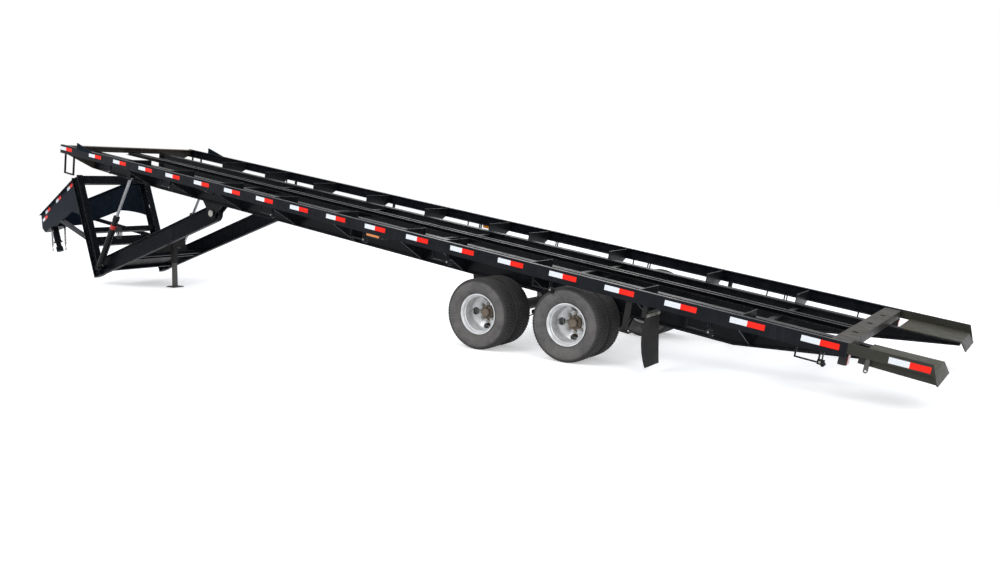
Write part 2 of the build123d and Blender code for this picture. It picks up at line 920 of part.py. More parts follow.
# Mudflaps: each hangs plumb from a bar between a main beam and a rail
flap_run = rear_axle_run + flap_gap
post_run = rear_axle_run + post_gap
with BuildPart() as flap_hangers:
    for side in SIDES:
        web = side * (beam_centre_y + beam_wall / 2)
        bar_out = side * (deck_half_width - flap_outer_gap)
        with BuildSketch(deck_slice(flap_run)):
            with BuildLine():
                Polyline(
                    (-web, -flap_bar_drop),
                    (-bar_out, -flap_bar_drop),
                    (-bar_out, -flap_bar_drop - flap_bar_size),
                    (-web, -flap_bar_drop - flap_bar_size),
                    close=True,
                )
            make_face()
            with BuildLine():
                Polyline(
                    (-bar_out, -rail_depth),
                    (-bar_out + side * flap_bar_size, -rail_depth),
                    (-bar_out + side * flap_bar_size, -flap_bar_drop),
                    (-bar_out, -flap_bar_drop),
                    close=True,
                )
            make_face()
        extrude(amount=flap_bar_size)
        with BuildSketch(deck_side(side * (deck_half_width - loop_inset))):
            with Locations((-post_run, -(rail_depth + post_drop) / 2)):
                Rectangle(post_width, post_drop - rail_depth)
        extrude(amount=bracket_plate / 2, both=True)
        with BuildSketch(deck_side(side * (deck_half_width - loop_inset))):
            with Locations((-post_run, -post_drop + bracket_plate / 2)):
                Rectangle(2 * post_width, bracket_plate)
        extrude(amount=post_width / 2, both=True)

flap_parts = []
for side in SIDES:
    with BuildPart() as mudflap:
        y = side * (deck_half_width - flap_outer_gap - flap_width / 2)
        flap_x = -flap_run - flap_bar_size - seat_clearance
        grip = -flap_bar_drop - flap_bar_size
        lean = flap_height * sin(radians(tilt_angle))
        fall = flap_height * cos(radians(tilt_angle))
        with BuildSketch(deck_side(y)):
            with BuildLine():
                Polyline(
                    (flap_x, -flap_bar_drop),
                    (flap_x, grip),
                    (flap_x - lean, grip - fall),
                    (flap_x - lean - flap_thickness, grip - fall),
                    (flap_x - flap_thickness, grip),
                    (flap_x - flap_thickness, -flap_bar_drop),
                    close=True,
                )
            make_face()
        extrude(amount=flap_width / 2, both=True)
    flap_parts.append(mudflap)
mudflap_left, mudflap_right = flap_parts

# Tail lamps under the rear tube, their lenses, and the side markers under the rails
lamp_top = beam_top
lamp_y = deck_half_width - lamp_inset
with BuildPart() as tail_lamps:
    for side in SIDES:
        with BuildSketch(deck_side(side * lamp_y)):
            with Locations((-tube_run_end + lamp_depth / 2, lamp_top - lamp_height / 2)):
                RectangleRounded(lamp_depth, lamp_height, lamp_round)
        extrude(amount=lamp_width / 2, both=True)
with BuildPart() as tail_lenses:
    for side in SIDES:
        with BuildSketch(deck_side(side * lamp_y)):
            with Locations((-tube_run_end - lens_thickness / 2, lamp_top - lamp_height / 2)):
                Rectangle(lens_thickness, lamp_height - 2 * lamp_round)
        extrude(amount=lamp_width / 2 - lamp_round, both=True)
with BuildPart() as marker_lamps:
    for side in SIDES:
        with BuildSketch(deck_side(side * (deck_half_width - marker_depth))):
            with Locations((-marker_place_share * deck_length, -rail_depth - marker_height / 2)):
                Rectangle(marker_length, marker_height)
        extrude(amount=marker_depth / 2, both=True)

# Hanging eyes under the prongs, each lapped on the inside of a curb
with BuildPart() as tail_eyes:
    for side in SIDES:
        eye_y = side * (deck_half_width - rail_wall - hook_plate / 2)
        eye_centre = beam_top - hook_length / 2
        with BuildSketch(deck_side(eye_y)):
            with Locations((-tube_run_end - hook_gap, eye_centre)):
                SlotOverall(hook_length, hook_width, rotation=90)
            with Locations((-tube_run_end - hook_gap, eye_centre - hook_length / 2 + hook_width / 2)):
                Circle(hook_hole_radius, mode=Mode.SUBTRACT)
        extrude(amount=hook_plate / 2, both=True)

# Hinge lugs under the main beams with the pins that the arms turn on
lug_y = arm_flange / 2 + lug_gap
with BuildPart() as hinge_lugs:
    for side in SIDES:
        for flank in SIDES:
            with BuildSketch(deck_side(side * arm_centre_y + flank * (lug_y + lug_plate / 2))):
                with BuildLine():
                    Polyline(
                        (-pin_run + lug_front, beam_bottom),
                        (-pin_run - lug_tail, beam_bottom),
                        (-pin_run - lug_radius, -pin_drop),
                        (-pin_run + lug_radius, -pin_drop),
                        close=True,
                    )
                make_face()
                with Locations((-pin_run, -pin_drop)):
                    Circle(lug_radius)
            extrude(amount=lug_plate / 2, both=True)
        with BuildSketch(deck_side(side * arm_centre_y)):
            with Locations((-pin_run, -pin_drop)):
                Circle(pin_radius)
        extrude(amount=lug_y + 2 * lug_plate, both=True)

# Cylinder brackets on the deck: two ears under a shelf on each main beam
ear_y = eye_width / 2 + lug_side_gap
with BuildPart() as cylinder_brackets:
    for side in SIDES:
        shelf_in = side * (beam_centre_y + beam_wall / 2)
        shelf_out = side * (cylinder_y + ear_y + ear_plate)
        with BuildSketch(deck_side(side * cylinder_y)):
            with Locations((-top_run, -shelf_drop)):
                Rectangle(2 * ear_half_run, shelf_plate)
        extrude(amount=ear_y + ear_plate, both=True)
        with BuildSketch(deck_side((shelf_in + side * (cylinder_y - ear_y)) / 2)):
            with Locations((-top_run, -shelf_drop)):
                Rectangle(2 * ear_half_run, shelf_plate)
        extrude(amount=(cylinder_y - ear_y - beam_centre_y - beam_wall / 2) / 2, both=True)
        for flank in SIDES:
            with BuildSketch(deck_side(side * cylinder_y + flank * (ear_y + ear_plate / 2))):
                with BuildLine():
                    Polyline(
                        (-top_run + ear_half_run, -shelf_drop),
                        (-top_run - ear_half_run, -shelf_drop),
                        (-top_run - ear_radius, -top_drop),
                        (-top_run + ear_radius, -top_drop),
                        close=True,
                    )
                make_face()
                with Locations((-top_run, -top_drop)):
                    Circle(ear_radius)
            extrude(amount=ear_plate / 2, both=True)

# Neck arms: deep sections rounded about the hinge pins
arm_half = arm_depth / 2
with BuildPart() as neck_arms:
    for side in SIDES:
        y = side * arm_centre_y
        with BuildSketch(neck_side(y)):
            with Locations((post_rear_run / 2, 0)):
                Rectangle(post_rear_run, arm_depth)
            Circle(arm_half)
        extrude(amount=arm_wall / 2, both=True)
        with BuildSketch(neck_side(y)):
            for flank in SIDES:
                with Locations((post_rear_run / 2, flank * (arm_half - arm_cap / 2))):
                    Rectangle(post_rear_run, arm_cap)
        extrude(amount=arm_flange / 2, both=True)
        with BuildSketch(neck_side(y)):
            Circle(arm_half)
            Circle(arm_half - arm_cap, mode=Mode.SUBTRACT)
            with Locations((arm_half, 0)):
                Rectangle(2 * arm_half, 2 * arm_depth, mode=Mode.SUBTRACT)
        extrude(amount=arm_flange / 2, both=True)
        with BuildSketch(neck_side(y)):
            Circle(boss_radius)
        extrude(amount=lug_y - boss_side_gap, both=True)
        with BuildSketch(neck_side(y)):
            Circle(pin_radius + pin_gap)
        extrude(amount=lug_y, both=True, mode=Mode.SUBTRACT)

# Neck posts: wide-flanged uprights that close the front ends of the arms
with BuildPart() as neck_posts:
    for side in SIDES:
        y = side * arm_centre_y
        post_mid = post_rear_run + post_depth / 2
        post_height = post_top + arm_half
        with BuildSketch(neck_side(y)):
            with Locations((post_mid, post_height / 2 - arm_half)):
                Rectangle(post_depth, post_height)
            with Locations((post_mid, post_hole_level)):
                Circle(post_hole_radius, mode=Mode.SUBTRACT)
        extrude(amount=post_wall / 2, both=True)
        with BuildSketch(neck_side(y)):
            for flank in SIDES:
                with Locations(
                    (post_mid + flank * (post_depth - post_cap) / 2, post_height / 2 - arm_half)
                ):
                    Rectangle(post_cap, post_height)
            with Locations((post_mid, post_cap / 2 - arm_half)):
                Rectangle(post_depth, post_cap)
        extrude(amount=post_flange / 2, both=True)

# Crossbars between the posts, the tray bars between the arms and the beam that holds the jack
with BuildPart() as neck_crossbars:
    bar_half = arm_centre_y - post_wall / 2
    for level, height in (
        (post_top - top_bar_height, top_bar_height),
        (mid_bar_level, mid_bar_height),
        (low_bar_level, low_bar_height),
    ):
        with BuildSketch(neck_side(0)):
            with Locations((post_mid, level + height / 2)):
                Rectangle(bar_depth, height)
                Rectangle(bar_depth - 2 * bar_wall, height - 2 * bar_wall, mode=Mode.SUBTRACT)
        extrude(amount=bar_half, both=True)
    tray_half = arm_centre_y - arm_wall / 2
    for run in (unit_rear_run + tray_inset, unit_rear_run + unit_length - tray_inset):
        with BuildSketch(neck_side(0)):
            with Locations((run, tray_level - tray_bar / 2)):
                Rectangle(tray_bar, tray_bar)
                Rectangle(tray_bar - 2 * tray_wall, tray_bar - 2 * tray_wall, mode=Mode.SUBTRACT)
        extrude(amount=tray_half, both=True)
    with BuildSketch(neck_side(0)):
        with Locations((jack_beam_run, tray_level - jack_beam_size / 2)):
            Rectangle(jack_beam_size, jack_beam_size)
            Rectangle(
                jack_beam_size - 2 * tray_wall, jack_beam_size - 2 * tray_wall, mode=Mode.SUBTRACT
            )
    extrude(amount=tray_half, both=True)

# Cylinder posts: stub axles on the arms' webs for the barrels' eyes
with BuildPart() as cylinder_stubs:
    for side in SIDES:
        web = arm_centre_y + arm_wall / 2
        with BuildSketch(neck_side(side * (web + cylinder_y - ear_y) / 2)):
            with Locations((base_run, -base_drop)):
                Circle(stub_radius)
        extrude(amount=(cylinder_y - ear_y - web) / 2, both=True)
        with BuildSketch(neck_side(side * cylinder_y)):
            with Locations((base_run, -base_drop)):
                Circle(cylinder_pin_radius)
        extrude(amount=ear_y, both=True)
        with BuildSketch(neck_side(side * (cylinder_y + ear_y + ear_plate / 2))):
            with Locations((base_run, -base_drop)):
                Circle(eye_radius)
        extrude(amount=ear_plate / 2, both=True)

# Gooseneck sides: plates from the posts that close in on the nose, with a cap along the top
post_front_run = post_rear_run + post_depth
closing = nose_run - post_front_run
inward = side_root_y - nose_half_width
side_length = hypot(closing, inward)
post_seat_run = post_front_run + seat_clearance
arch_run = post_front_run + arch_share * closing
side_belly_run = post_front_run + side_belly_share * closing
brace_head_run = post_front_run + brace_head_share * closing
nose_floor_start = nose_run - nose_floor_length
stem_run = nose_run - stem_setback
chain_run = nose_run - chain_setback


def side_face(side):
    """The upright plane of one gooseneck side, drawn from the post's front face."""
    along = (neck_forward * closing - across * side * inward) / side_length
    return Plane(
        origin=neck_point(post_front_run, side * side_root_y, 0),
        x_dir=along,
        z_dir=along.cross(neck_upward),
    )


def side_reach(run):
    """How far along a gooseneck side a run of the neck lies."""
    return (run - post_front_run) * side_length / closing


with BuildPart() as gooseneck_sides:
    for side in SIDES:
        root = -side_plate
        with BuildSketch(side_face(side)):
            with BuildLine():
                Polyline(
                    (side_reach(arch_run), side_belly_level),
                    (side_reach(side_belly_run), side_belly_level),
                    (side_reach(nose_floor_start), nose_floor_level),
                    (side_reach(nose_run), nose_floor_level),
                    (side_reach(nose_toe_run), nose_toe_level),
                    (side_reach(nose_run), post_top),
                    (root, post_top),
                    (root, gusset_low_level),
                )
                ThreePointArc(
                    (root, gusset_low_level),
                    (
                        side_reach((post_front_run + arch_run) / 2) + arch_sag,
                        (gusset_low_level + side_belly_level) / 2 + arch_sag,
                    ),
                    (side_reach(arch_run), side_belly_level),
                )
            make_face()
        extrude(amount=side_plate / 2, both=True)
        with BuildSketch(side_face(side)):
            with BuildLine():
                Polyline(
                    (root, post_top),
                    (side_reach(nose_run), post_top),
                    (side_reach(nose_run), post_top - side_plate),
                    (root, post_top - side_plate),
                    close=True,
                )
            make_face()
        extrude(amount=side_cap / 2, both=True)
    with BuildSketch(neck_side(0)):
        with Locations((post_seat_run - post_depth / 2, post_top / 2)):
            Rectangle(post_depth, 2 * post_top)
    extrude(amount=deck_half_width, both=True, mode=Mode.SUBTRACT)

# Nose: a folded plate and a floor between the two sides, cut to meet them
with BuildPart() as gooseneck_nose:
    with BuildSketch(neck_side(0)):
        with BuildLine():
            Polyline(
                (nose_floor_start, nose_floor_level),
                (nose_run, nose_floor_level),
                (nose_toe_run, nose_toe_level),
                (nose_run, post_top - side_plate),
                (nose_run - side_plate, post_top - side_plate),
                (nose_toe_run - side_plate, nose_toe_level),
                (nose_run - side_plate / 2, nose_floor_level + side_plate),
                (nose_floor_start, nose_floor_level + side_plate),
                close=True,
            )
        make_face()
    extrude(amount=side_root_y, both=True)
    inset = side_plate / 2 * side_length / closing
    slope = inward / closing
    with BuildSketch(neck_flat(nose_floor_level)):
        with BuildLine():
            Polyline(
                (nose_floor_start, nose_half_width + (nose_run - nose_floor_start) * slope - inset),
                (nose_toe_run, nose_half_width - (nose_toe_run - nose_run) * slope - inset),
                (nose_toe_run, -nose_half_width + (nose_toe_run - nose_run) * slope + inset),
                (nose_floor_start, -nose_half_width - (nose_run - nose_floor_start) * slope + inset),
                close=True,
            )
        make_face()
    extrude(amount=post_top - nose_floor_level, mode=Mode.INTERSECT)
    chain_y = nose_half_width + (nose_run - chain_run) * slope - chain_ear_inset
    ear_level = nose_floor_level - chain_ear_drop
    for side in SIDES:
        with BuildSketch(neck_side(side * chain_y)):
            with Locations((chain_run, nose_floor_level - chain_ear_drop / 2)):
                Rectangle(2 * chain_ear_radius, chain_ear_drop)
            with Locations((chain_run, ear_level)):
                Circle(chain_ear_radius)
                Circle(chain_hole_radius, mode=Mode.SUBTRACT)
        extrude(amount=chain_ear_plate / 2, both=True)

# Knee braces: square tubes from the posts up to the gooseneck's belly
with BuildPart() as knee_braces:
    for side in SIDES:
        foot = (-side_plate, brace_foot_level)
        head = (side_reach(brace_head_run), side_belly_level)
        rise = brace_size * hypot(head[0] - foot[0], head[1] - foot[1]) / (head[0] - foot[0])
        run_step = brace_size * hypot(head[0] - foot[0], head[1] - foot[1]) / (head[1] - foot[1])
        with BuildSketch(side_face(side)):
            with BuildLine():
                Polyline(
                    foot,
                    (foot[0], foot[1] + rise),
                    (head[0] - run_step, head[1]),
                    head,
                    close=True,
                )
            make_face()
        extrude(amount=brace_size / 2, both=True)
    with BuildSketch(neck_side(0)):
        with Locations((post_seat_run - post_depth / 2, post_top / 2)):
            Rectangle(post_depth, 2 * post_top)
    extrude(amount=deck_half_width, both=True, mode=Mode.SUBTRACT)

# Coupler: a tube under the nose, the inner tube and the socket for the ball
stem_top = nose_floor_level
socket_top = stem_top - stem_length - inner_stem_length
with BuildPart() as coupler:
    for top, depth, radius in (
        (stem_top, stem_length, stem_radius),
        (stem_top - stem_length, stem_flange, stem_flange_radius),
        (stem_top - stem_length, inner_stem_length, inner_stem_radius),
        (socket_top, socket_length, socket_radius),
    ):
        with BuildSketch(neck_flat(top)):
            with Locations((stem_run, 0)):
                Circle(radius)
        extrude(amount=-depth)
    with BuildSketch(neck_flat(socket_top - socket_length)):
        with Locations((stem_run, 0)):
            Circle(ball_radius)
    extrude(amount=ball_depth, mode=Mode.SUBTRACT)

# Safety chains: they hang plumb from the ears under the nose, each link square to the last
link_inner_radius = chain_link_width / 2 - chain_wire
link_inner_half = chain_link_length / 2 - chain_wire
wire_half = chain_wire / 2
ear_bend = link_inner_radius - (link_inner_radius**2 - (chain_ear_plate / 2) ** 2) ** (1 / 2)
link_bend = link_inner_radius - (link_inner_radius**2 - wire_half**2) ** (1 / 2)
hook_drop = ((chain_hole_radius - seat_clearance) ** 2 - wire_half**2) ** (1 / 2) - ear_bend
chain_pitch = 2 * (link_inner_half - link_bend) - seat_clearance
with BuildPart() as safety_chains:
    for side in SIDES:
        hook = neck_point(chain_run, side * chain_y, ear_level)
        for index in range(chain_link_count):
            drop = hook_drop + link_inner_half + chain_pitch * index
            turn = across if index % 2 else Vector(1, 0, 0)
            with BuildSketch(
                Plane(origin=hook - Vector(0, 0, drop), x_dir=Vector(0, 0, 1), z_dir=turn)
            ):
                SlotOverall(chain_link_length, chain_link_width)
                SlotOverall(2 * link_inner_half, 2 * link_inner_radius, mode=Mode.SUBTRACT)
            extrude(amount=wire_half, both=True)

# Power unit between the arms: a closed box with a lid
with BuildPart() as power_unit:
    unit_mid = unit_rear_run + unit_length / 2
    with BuildSketch(neck_flat(tray_level)):
        with Locations((unit_mid, 0)):
            RectangleRounded(unit_length, unit_width, unit_round)
    extrude(amount=unit_height - unit_lid_height)
    with BuildSketch(neck_flat(tray_level + unit_height - unit_lid_height)):
        with Locations((unit_mid, 0)):
            RectangleRounded(
                unit_length + 2 * unit_lid_edge, unit_width + 2 * unit_lid_edge, unit_round
            )
    extrude(amount=unit_lid_height)

# Jack: set plumb on its bracket, with the leg down on the floor
jack_zero = neck_point(jack_run, 0, 0)


def level_at(height):
    """The level plane at a height over the floor, centred on the jack."""
    return Plane(origin=Vector(jack_zero.X, 0, height), x_dir=Vector(1, 0, 0), z_dir=Vector(0, 0, 1))


jack_low = jack_zero.Z - jack_tube_below
with BuildPart() as jack_body:
    with BuildSketch(level_at(jack_low)):
        Rectangle(jack_tube, jack_tube)
        Rectangle(jack_leg_size + 2 * seat_clearance, jack_leg_size + 2 * seat_clearance, mode=Mode.SUBTRACT)
    extrude(amount=jack_tube_below + jack_tube_above)
    with BuildSketch(level_at(jack_zero.Z + jack_tube_above)):
        RectangleRounded(jack_head_size, jack_head_size, jack_crank_radius)
    extrude(amount=jack_head_height)
    crank = jack_zero + Vector(0, 0, jack_tube_above + jack_head_height / 2)
    with BuildSketch(world_side(crank)):
        Circle(jack_crank_radius)
    extrude(amount=-jack_crank_length)
    beam_face = jack_beam_run - jack_beam_size / 2
    with BuildSketch(neck_side(0)):
        with BuildLine():
            Polyline(
                (beam_face, tray_level),
                (beam_face, tray_level - jack_beam_size),
                (
                    jack_run + jack_tube / 2 / cos(radians(neck_slope))
                    + (tray_level - jack_beam_size) * -tan(radians(neck_slope)),
                    tray_level - jack_beam_size,
                ),
                (
                    jack_run + jack_tube / 2 / cos(radians(neck_slope))
                    + tray_level * -tan(radians(neck_slope)),
                    tray_level,
                ),
                close=True,
            )
        make_face()
    extrude(amount=jack_bracket_width / 2, both=True)
with BuildPart() as jack_leg:
    with BuildSketch(level_at(0)):
        Rectangle(jack_foot_length, jack_foot_length)
    extrude(amount=jack_foot_plate)
    with BuildSketch(level_at(jack_foot_plate)):
        Rectangle(jack_leg_size, jack_leg_size)
    extrude(amount=jack_low + jack_leg_overlap - jack_foot_plate)

# Lift cylinders: a barrel on each stub axle and a rod that ends in an eye between the ears
base = neck_point(base_run, 0, -base_drop)
top = deck_point(top_run, 0, -top_drop)
stroke_line = (top - base).normalized()
pin_to_pin = (top - base).length


def cylinder_side(y):
    """The upright plane through a cylinder, drawn from its base pin along its rod."""
    return Plane(origin=base + across * y, x_dir=stroke_line, z_dir=left_normal)


def cylinder_slice(y, reach):
    """The plane across a cylinder at a reach from its base pin."""
    return Plane(origin=base + stroke_line * reach + across * y, x_dir=across, z_dir=stroke_line)


cylinder_parts = []
for side in SIDES:
    y = side * cylinder_y
    rod_low = barrel_length - barrel_cap_length - piston_gap - piston_length
    with BuildPart() as barrel:
        with BuildSketch(cylinder_slice(y, barrel_foot)):
            Circle(barrel_radius)
        extrude(amount=barrel_length - barrel_foot)
        with BuildSketch(cylinder_slice(y, barrel_length - barrel_cap_length)):
            Circle(barrel_cap_radius)
        extrude(amount=barrel_cap_length)
        with BuildSketch(cylinder_side(y)):
            Circle(eye_radius)
            with Locations((barrel_foot / 2, 0)):
                Rectangle(barrel_foot, 2 * cylinder_pin_radius)
        extrude(amount=eye_width / 2, both=True)
        with BuildSketch(cylinder_slice(y, barrel_foot + barrel_wall)):
            Circle(barrel_radius - barrel_wall)
        extrude(
            amount=barrel_length - barrel_cap_length - barrel_foot - barrel_wall,
            mode=Mode.SUBTRACT,
        )
        with BuildSketch(cylinder_slice(y, barrel_length - barrel_cap_length - overrun)):
            Circle(rod_radius + seat_clearance)
        extrude(amount=barrel_cap_length + 2 * overrun, mode=Mode.SUBTRACT)
        with BuildSketch(cylinder_side(y)):
            Circle(cylinder_pin_radius + pin_gap)
        extrude(amount=eye_width, both=True, mode=Mode.SUBTRACT)
    with BuildPart() as rod:
        with BuildSketch(cylinder_slice(y, rod_low)):
            Circle(rod_radius)
        extrude(amount=pin_to_pin - rod_low - eye_radius / 2)
        with BuildSketch(cylinder_slice(y, rod_low)):
            Circle(barrel_radius - barrel_wall - seat_clearance)
        extrude(amount=piston_length)
        with BuildSketch(cylinder_side(y)):
            with Locations((pin_to_pin, 0)):
                Circle(eye_radius)
        extrude(amount=eye_width / 2, both=True)
    cylinder_parts.append((barrel, rod))
(barrel_left, rod_left), (barrel_right, rod_right) = cylinder_parts

tyres_front_left = wheel_sets["front_left"][0]
rims_front_left = wheel_sets["front_left"][1]
hub_front_left = wheel_sets["front_left"][2]
tyres_front_right = wheel_sets["front_right"][0]
rims_front_right = wheel_sets["front_right"][1]
hub_front_right = wheel_sets["front_right"][2]
tyres_rear_left = wheel_sets["rear_left"][0]
rims_rear_left = wheel_sets["rear_left"][1]
hub_rear_left = wheel_sets["rear_left"][2]
tyres_rear_right = wheel_sets["rear_right"][0]
rims_rear_right = wheel_sets["rear_right"][1]
hub_rear_right = wheel_sets["rear_right"][2]

main_beams.part.label = "main_beams"
export_step(main_beams.part, "parts/main_beams.step")
side_rails.part.label = "side_rails"
export_step(side_rails.part, "parts/side_rails.step")
front_crossbar.part.label = "front_crossbar"
export_step(front_crossbar.part, "parts/front_crossbar.step")
crossmembers.part.label = "crossmembers"
export_step(crossmembers.part, "parts/crossmembers.step")
centre_track.part.label = "centre_track"
export_step(centre_track.part, "parts/centre_track.step")
outriggers.part.label = "outriggers"
export_step(outriggers.part, "parts/outriggers.step")
rear_cross_tube.part.label = "rear_cross_tube"
export_step(rear_cross_tube.part, "parts/rear_cross_tube.step")
approach_plates.part.label = "approach_plates"
export_step(approach_plates.part, "parts/approach_plates.step")
front_guides.part.label = "front_guides"
export_step(front_guides.part, "parts/front_guides.step")
tie_loops.part.label = "tie_loops"
export_step(tie_loops.part, "parts/tie_loops.step")
spring_hangers.part.label = "spring_hangers"
export_step(spring_hangers.part, "parts/spring_hangers.step")
leaf_springs.part.label = "leaf_springs"
export_step(leaf_springs.part, "parts/leaf_springs.step")
rockers.part.label = "rockers"
export_step(rockers.part, "parts/rockers.step")
front_axle.part.label = "front_axle"
export_step(front_axle.part, "parts/front_axle.step")
rear_axle.part.label = "rear_axle"
export_step(rear_axle.part, "parts/rear_axle.step")
flap_hangers.part.label = "flap_hangers"
export_step(flap_hangers.part, "parts/flap_hangers.step")
mudflap_left.part.label = "mudflap_left"
export_step(mudflap_left.part, "parts/mudflap_left.step")
mudflap_right.part.label = "mudflap_right"
export_step(mudflap_right.part, "parts/mudflap_right.step")
tail_lamps.part.label = "tail_lamps"
export_step(tail_lamps.part, "parts/tail_lamps.step")
tail_lenses.part.label = "tail_lenses"
export_step(tail_lenses.part, "parts/tail_lenses.step")
tail_eyes.part.label = "tail_eyes"
export_step(tail_eyes.part, "parts/tail_eyes.step")
marker_lamps.part.label = "marker_lamps"
export_step(marker_lamps.part, "parts/marker_lamps.step")
hinge_lugs.part.label = "hinge_lugs"
export_step(hinge_lugs.part, "parts/hinge_lugs.step")
cylinder_brackets.part.label = "cylinder_brackets"
export_step(cylinder_brackets.part, "parts/cylinder_brackets.step")
neck_arms.part.label = "neck_arms"
export_step(neck_arms.part, "parts/neck_arms.step")
neck_posts.part.label = "neck_posts"
export_step(neck_posts.part, "parts/neck_posts.step")
neck_crossbars.part.label = "neck_crossbars"
export_step(neck_crossbars.part, "parts/neck_crossbars.step")
cylinder_stubs.part.label = "cylinder_stubs"
export_step(cylinder_stubs.part, "parts/cylinder_stubs.step")
gooseneck_sides.part.label = "gooseneck_sides"
export_step(gooseneck_sides.part, "parts/gooseneck_sides.step")
gooseneck_nose.part.label = "gooseneck_nose"
export_step(gooseneck_nose.part, "parts/gooseneck_nose.step")
knee_braces.part.label = "knee_braces"
export_step(knee_braces.part, "parts/knee_braces.step")
coupler.part.label = "coupler"
export_step(coupler.part, "parts/coupler.step")
safety_chains.part.label = "safety_chains"
export_step(safety_chains.part, "parts/safety_chains.step")
power_unit.part.label = "power_unit"
export_step(power_unit.part, "parts/power_unit.step")
jack_body.part.label = "jack_body"
export_step(jack_body.part, "parts/jack_body.step")
jack_leg.part.label = "jack_leg"
export_step(jack_leg.part, "parts/jack_leg.step")
barrel_left.part.label = "barrel_left"
export_step(barrel_left.part, "parts/barrel_left.step")
barrel_right.part.label = "barrel_right"
export_step(barrel_right.part, "parts/barrel_right.step")
rod_left.part.label = "rod_left"
export_step(rod_left.part, "parts/rod_left.step")
rod_right.part.label = "rod_right"
export_step(rod_right.part, "parts/rod_right.step")
tyres_front_left.part.label = "tyres_front_left"
export_step(tyres_front_left.part, "parts/tyres_front_left.step")
rims_front_left.part.label = "rims_front_left"
export_step(rims_front_left.part, "parts/rims_front_left.step")
hub_front_left.part.label = "hub_front_left"
export_step(hub_front_left.part, "parts/hub_front_left.step")
tyres_front_right.part.label = "tyres_front_right"
export_step(tyres_front_right.part, "parts/tyres_front_right.step")
rims_front_right.part.label = "rims_front_right"
export_step(rims_front_right.part, "parts/rims_front_right.step")
hub_front_right.part.label = "hub_front_right"
export_step(hub_front_right.part, "parts/hub_front_right.step")
tyres_rear_left.part.label = "tyres_rear_left"
export_step(tyres_rear_left.part, "parts/tyres_rear_left.step")
rims_rear_left.part.label = "rims_rear_left"
export_step(rims_rear_left.part, "parts/rims_rear_left.step")
hub_rear_left.part.label = "hub_rear_left"
export_step(hub_rear_left.part, "parts/hub_rear_left.step")
tyres_rear_right.part.label = "tyres_rear_right"
export_step(tyres_rear_right.part, "parts/tyres_rear_right.step")
rims_rear_right.part.label = "rims_rear_right"
export_step(rims_rear_right.part, "parts/rims_rear_right.step")
hub_rear_right.part.label = "hub_rear_right"
export_step(hub_rear_right.part, "parts/hub_rear_right.step")
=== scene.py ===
"""Tilt-bed container trailer: finishes, fittings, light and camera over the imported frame."""

from __future__ import annotations

import logging
import math
from dataclasses import dataclass, field
from enum import Enum

import bpy
import numpy as np
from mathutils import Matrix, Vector

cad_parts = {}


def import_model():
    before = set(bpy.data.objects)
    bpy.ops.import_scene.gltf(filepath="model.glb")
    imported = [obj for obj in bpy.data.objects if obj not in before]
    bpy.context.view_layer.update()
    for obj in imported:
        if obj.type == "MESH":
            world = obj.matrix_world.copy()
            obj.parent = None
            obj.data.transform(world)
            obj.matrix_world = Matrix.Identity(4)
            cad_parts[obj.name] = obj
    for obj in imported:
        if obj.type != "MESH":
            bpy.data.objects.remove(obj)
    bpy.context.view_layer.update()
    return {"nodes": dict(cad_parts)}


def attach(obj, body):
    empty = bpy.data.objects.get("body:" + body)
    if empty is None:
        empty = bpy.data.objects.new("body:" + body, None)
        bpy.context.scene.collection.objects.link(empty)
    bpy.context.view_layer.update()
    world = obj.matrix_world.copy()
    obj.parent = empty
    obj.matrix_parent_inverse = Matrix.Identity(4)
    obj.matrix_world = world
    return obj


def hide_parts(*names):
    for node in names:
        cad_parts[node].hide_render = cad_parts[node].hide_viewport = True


LOG = logging.getLogger("trailer")
Shell = tuple[np.ndarray, list]
Triple = tuple[float, float, float]
Socket = bpy.types.NodeSocket
Tree = bpy.types.NodeTree
Material = bpy.types.Material

TILT = math.radians(8.5)
NECK_SLOPE = math.radians(19.0)
DECK_FORWARD = np.array([math.cos(TILT), 0.0, math.sin(TILT)])
DECK_UP = np.array([-math.sin(TILT), 0.0, math.cos(TILT)])
NECK_FORWARD = np.array([math.cos(NECK_SLOPE), 0.0, -math.sin(NECK_SLOPE)])
NECK_UP = np.array([math.sin(NECK_SLOPE), 0.0, math.cos(NECK_SLOPE)])
AHEAD = np.array([1.0, 0.0, 0.0])
ACROSS = np.array([0.0, 1.0, 0.0])
UP = np.array([0.0, 0.0, 1.0])
DECK_AXES = (DECK_FORWARD, ACROSS, DECK_UP)
DECK_SIDE_AXES = (DECK_FORWARD, DECK_UP, np.cross(DECK_FORWARD, DECK_UP))
NECK_AXES = (NECK_FORWARD, ACROSS, NECK_UP)

REAR_WHEEL = np.array([-4.072673, 0.0, 0.38])
WHEELS = {"front": REAR_WHEEL + AHEAD * 1.05, "rear": REAR_WHEEL}
WHEEL_MIDDLE = 0.944
DECK_ZERO = REAR_WHEEL + DECK_FORWARD * 8.929 + DECK_UP * 0.53
PIN_ZERO = DECK_ZERO - DECK_FORWARD * 2.96 - DECK_UP * 0.535
SIDES = {"left": 1.0, "right": -1.0}
BOTH = (-1.0, 1.0)
BEAM_Y = 0.62
TUBE_RUN = 11.34
CYLINDER_Y = 0.722
TAPE_SIZE = (0.1524, 0.0004, 0.0508)


def deck_point(run: float, y: float, height: float) -> np.ndarray:
    """Return the place on the deck that lies run metres behind its front end."""
    return DECK_ZERO - DECK_FORWARD * run + ACROSS * y + DECK_UP * height


def neck_point(run: float, y: float, level: float) -> np.ndarray:
    """Return the place on the neck that lies run metres ahead of the hinge pin."""
    return PIN_ZERO + NECK_FORWARD * run + ACROSS * y + NECK_UP * level


class Feel(Enum):
    """How a paint reflects: how much its roughness changes from place to place."""

    GLOSS = 0.06
    SATIN = 0.1
    DULL = 0.14


# Mesh helpers


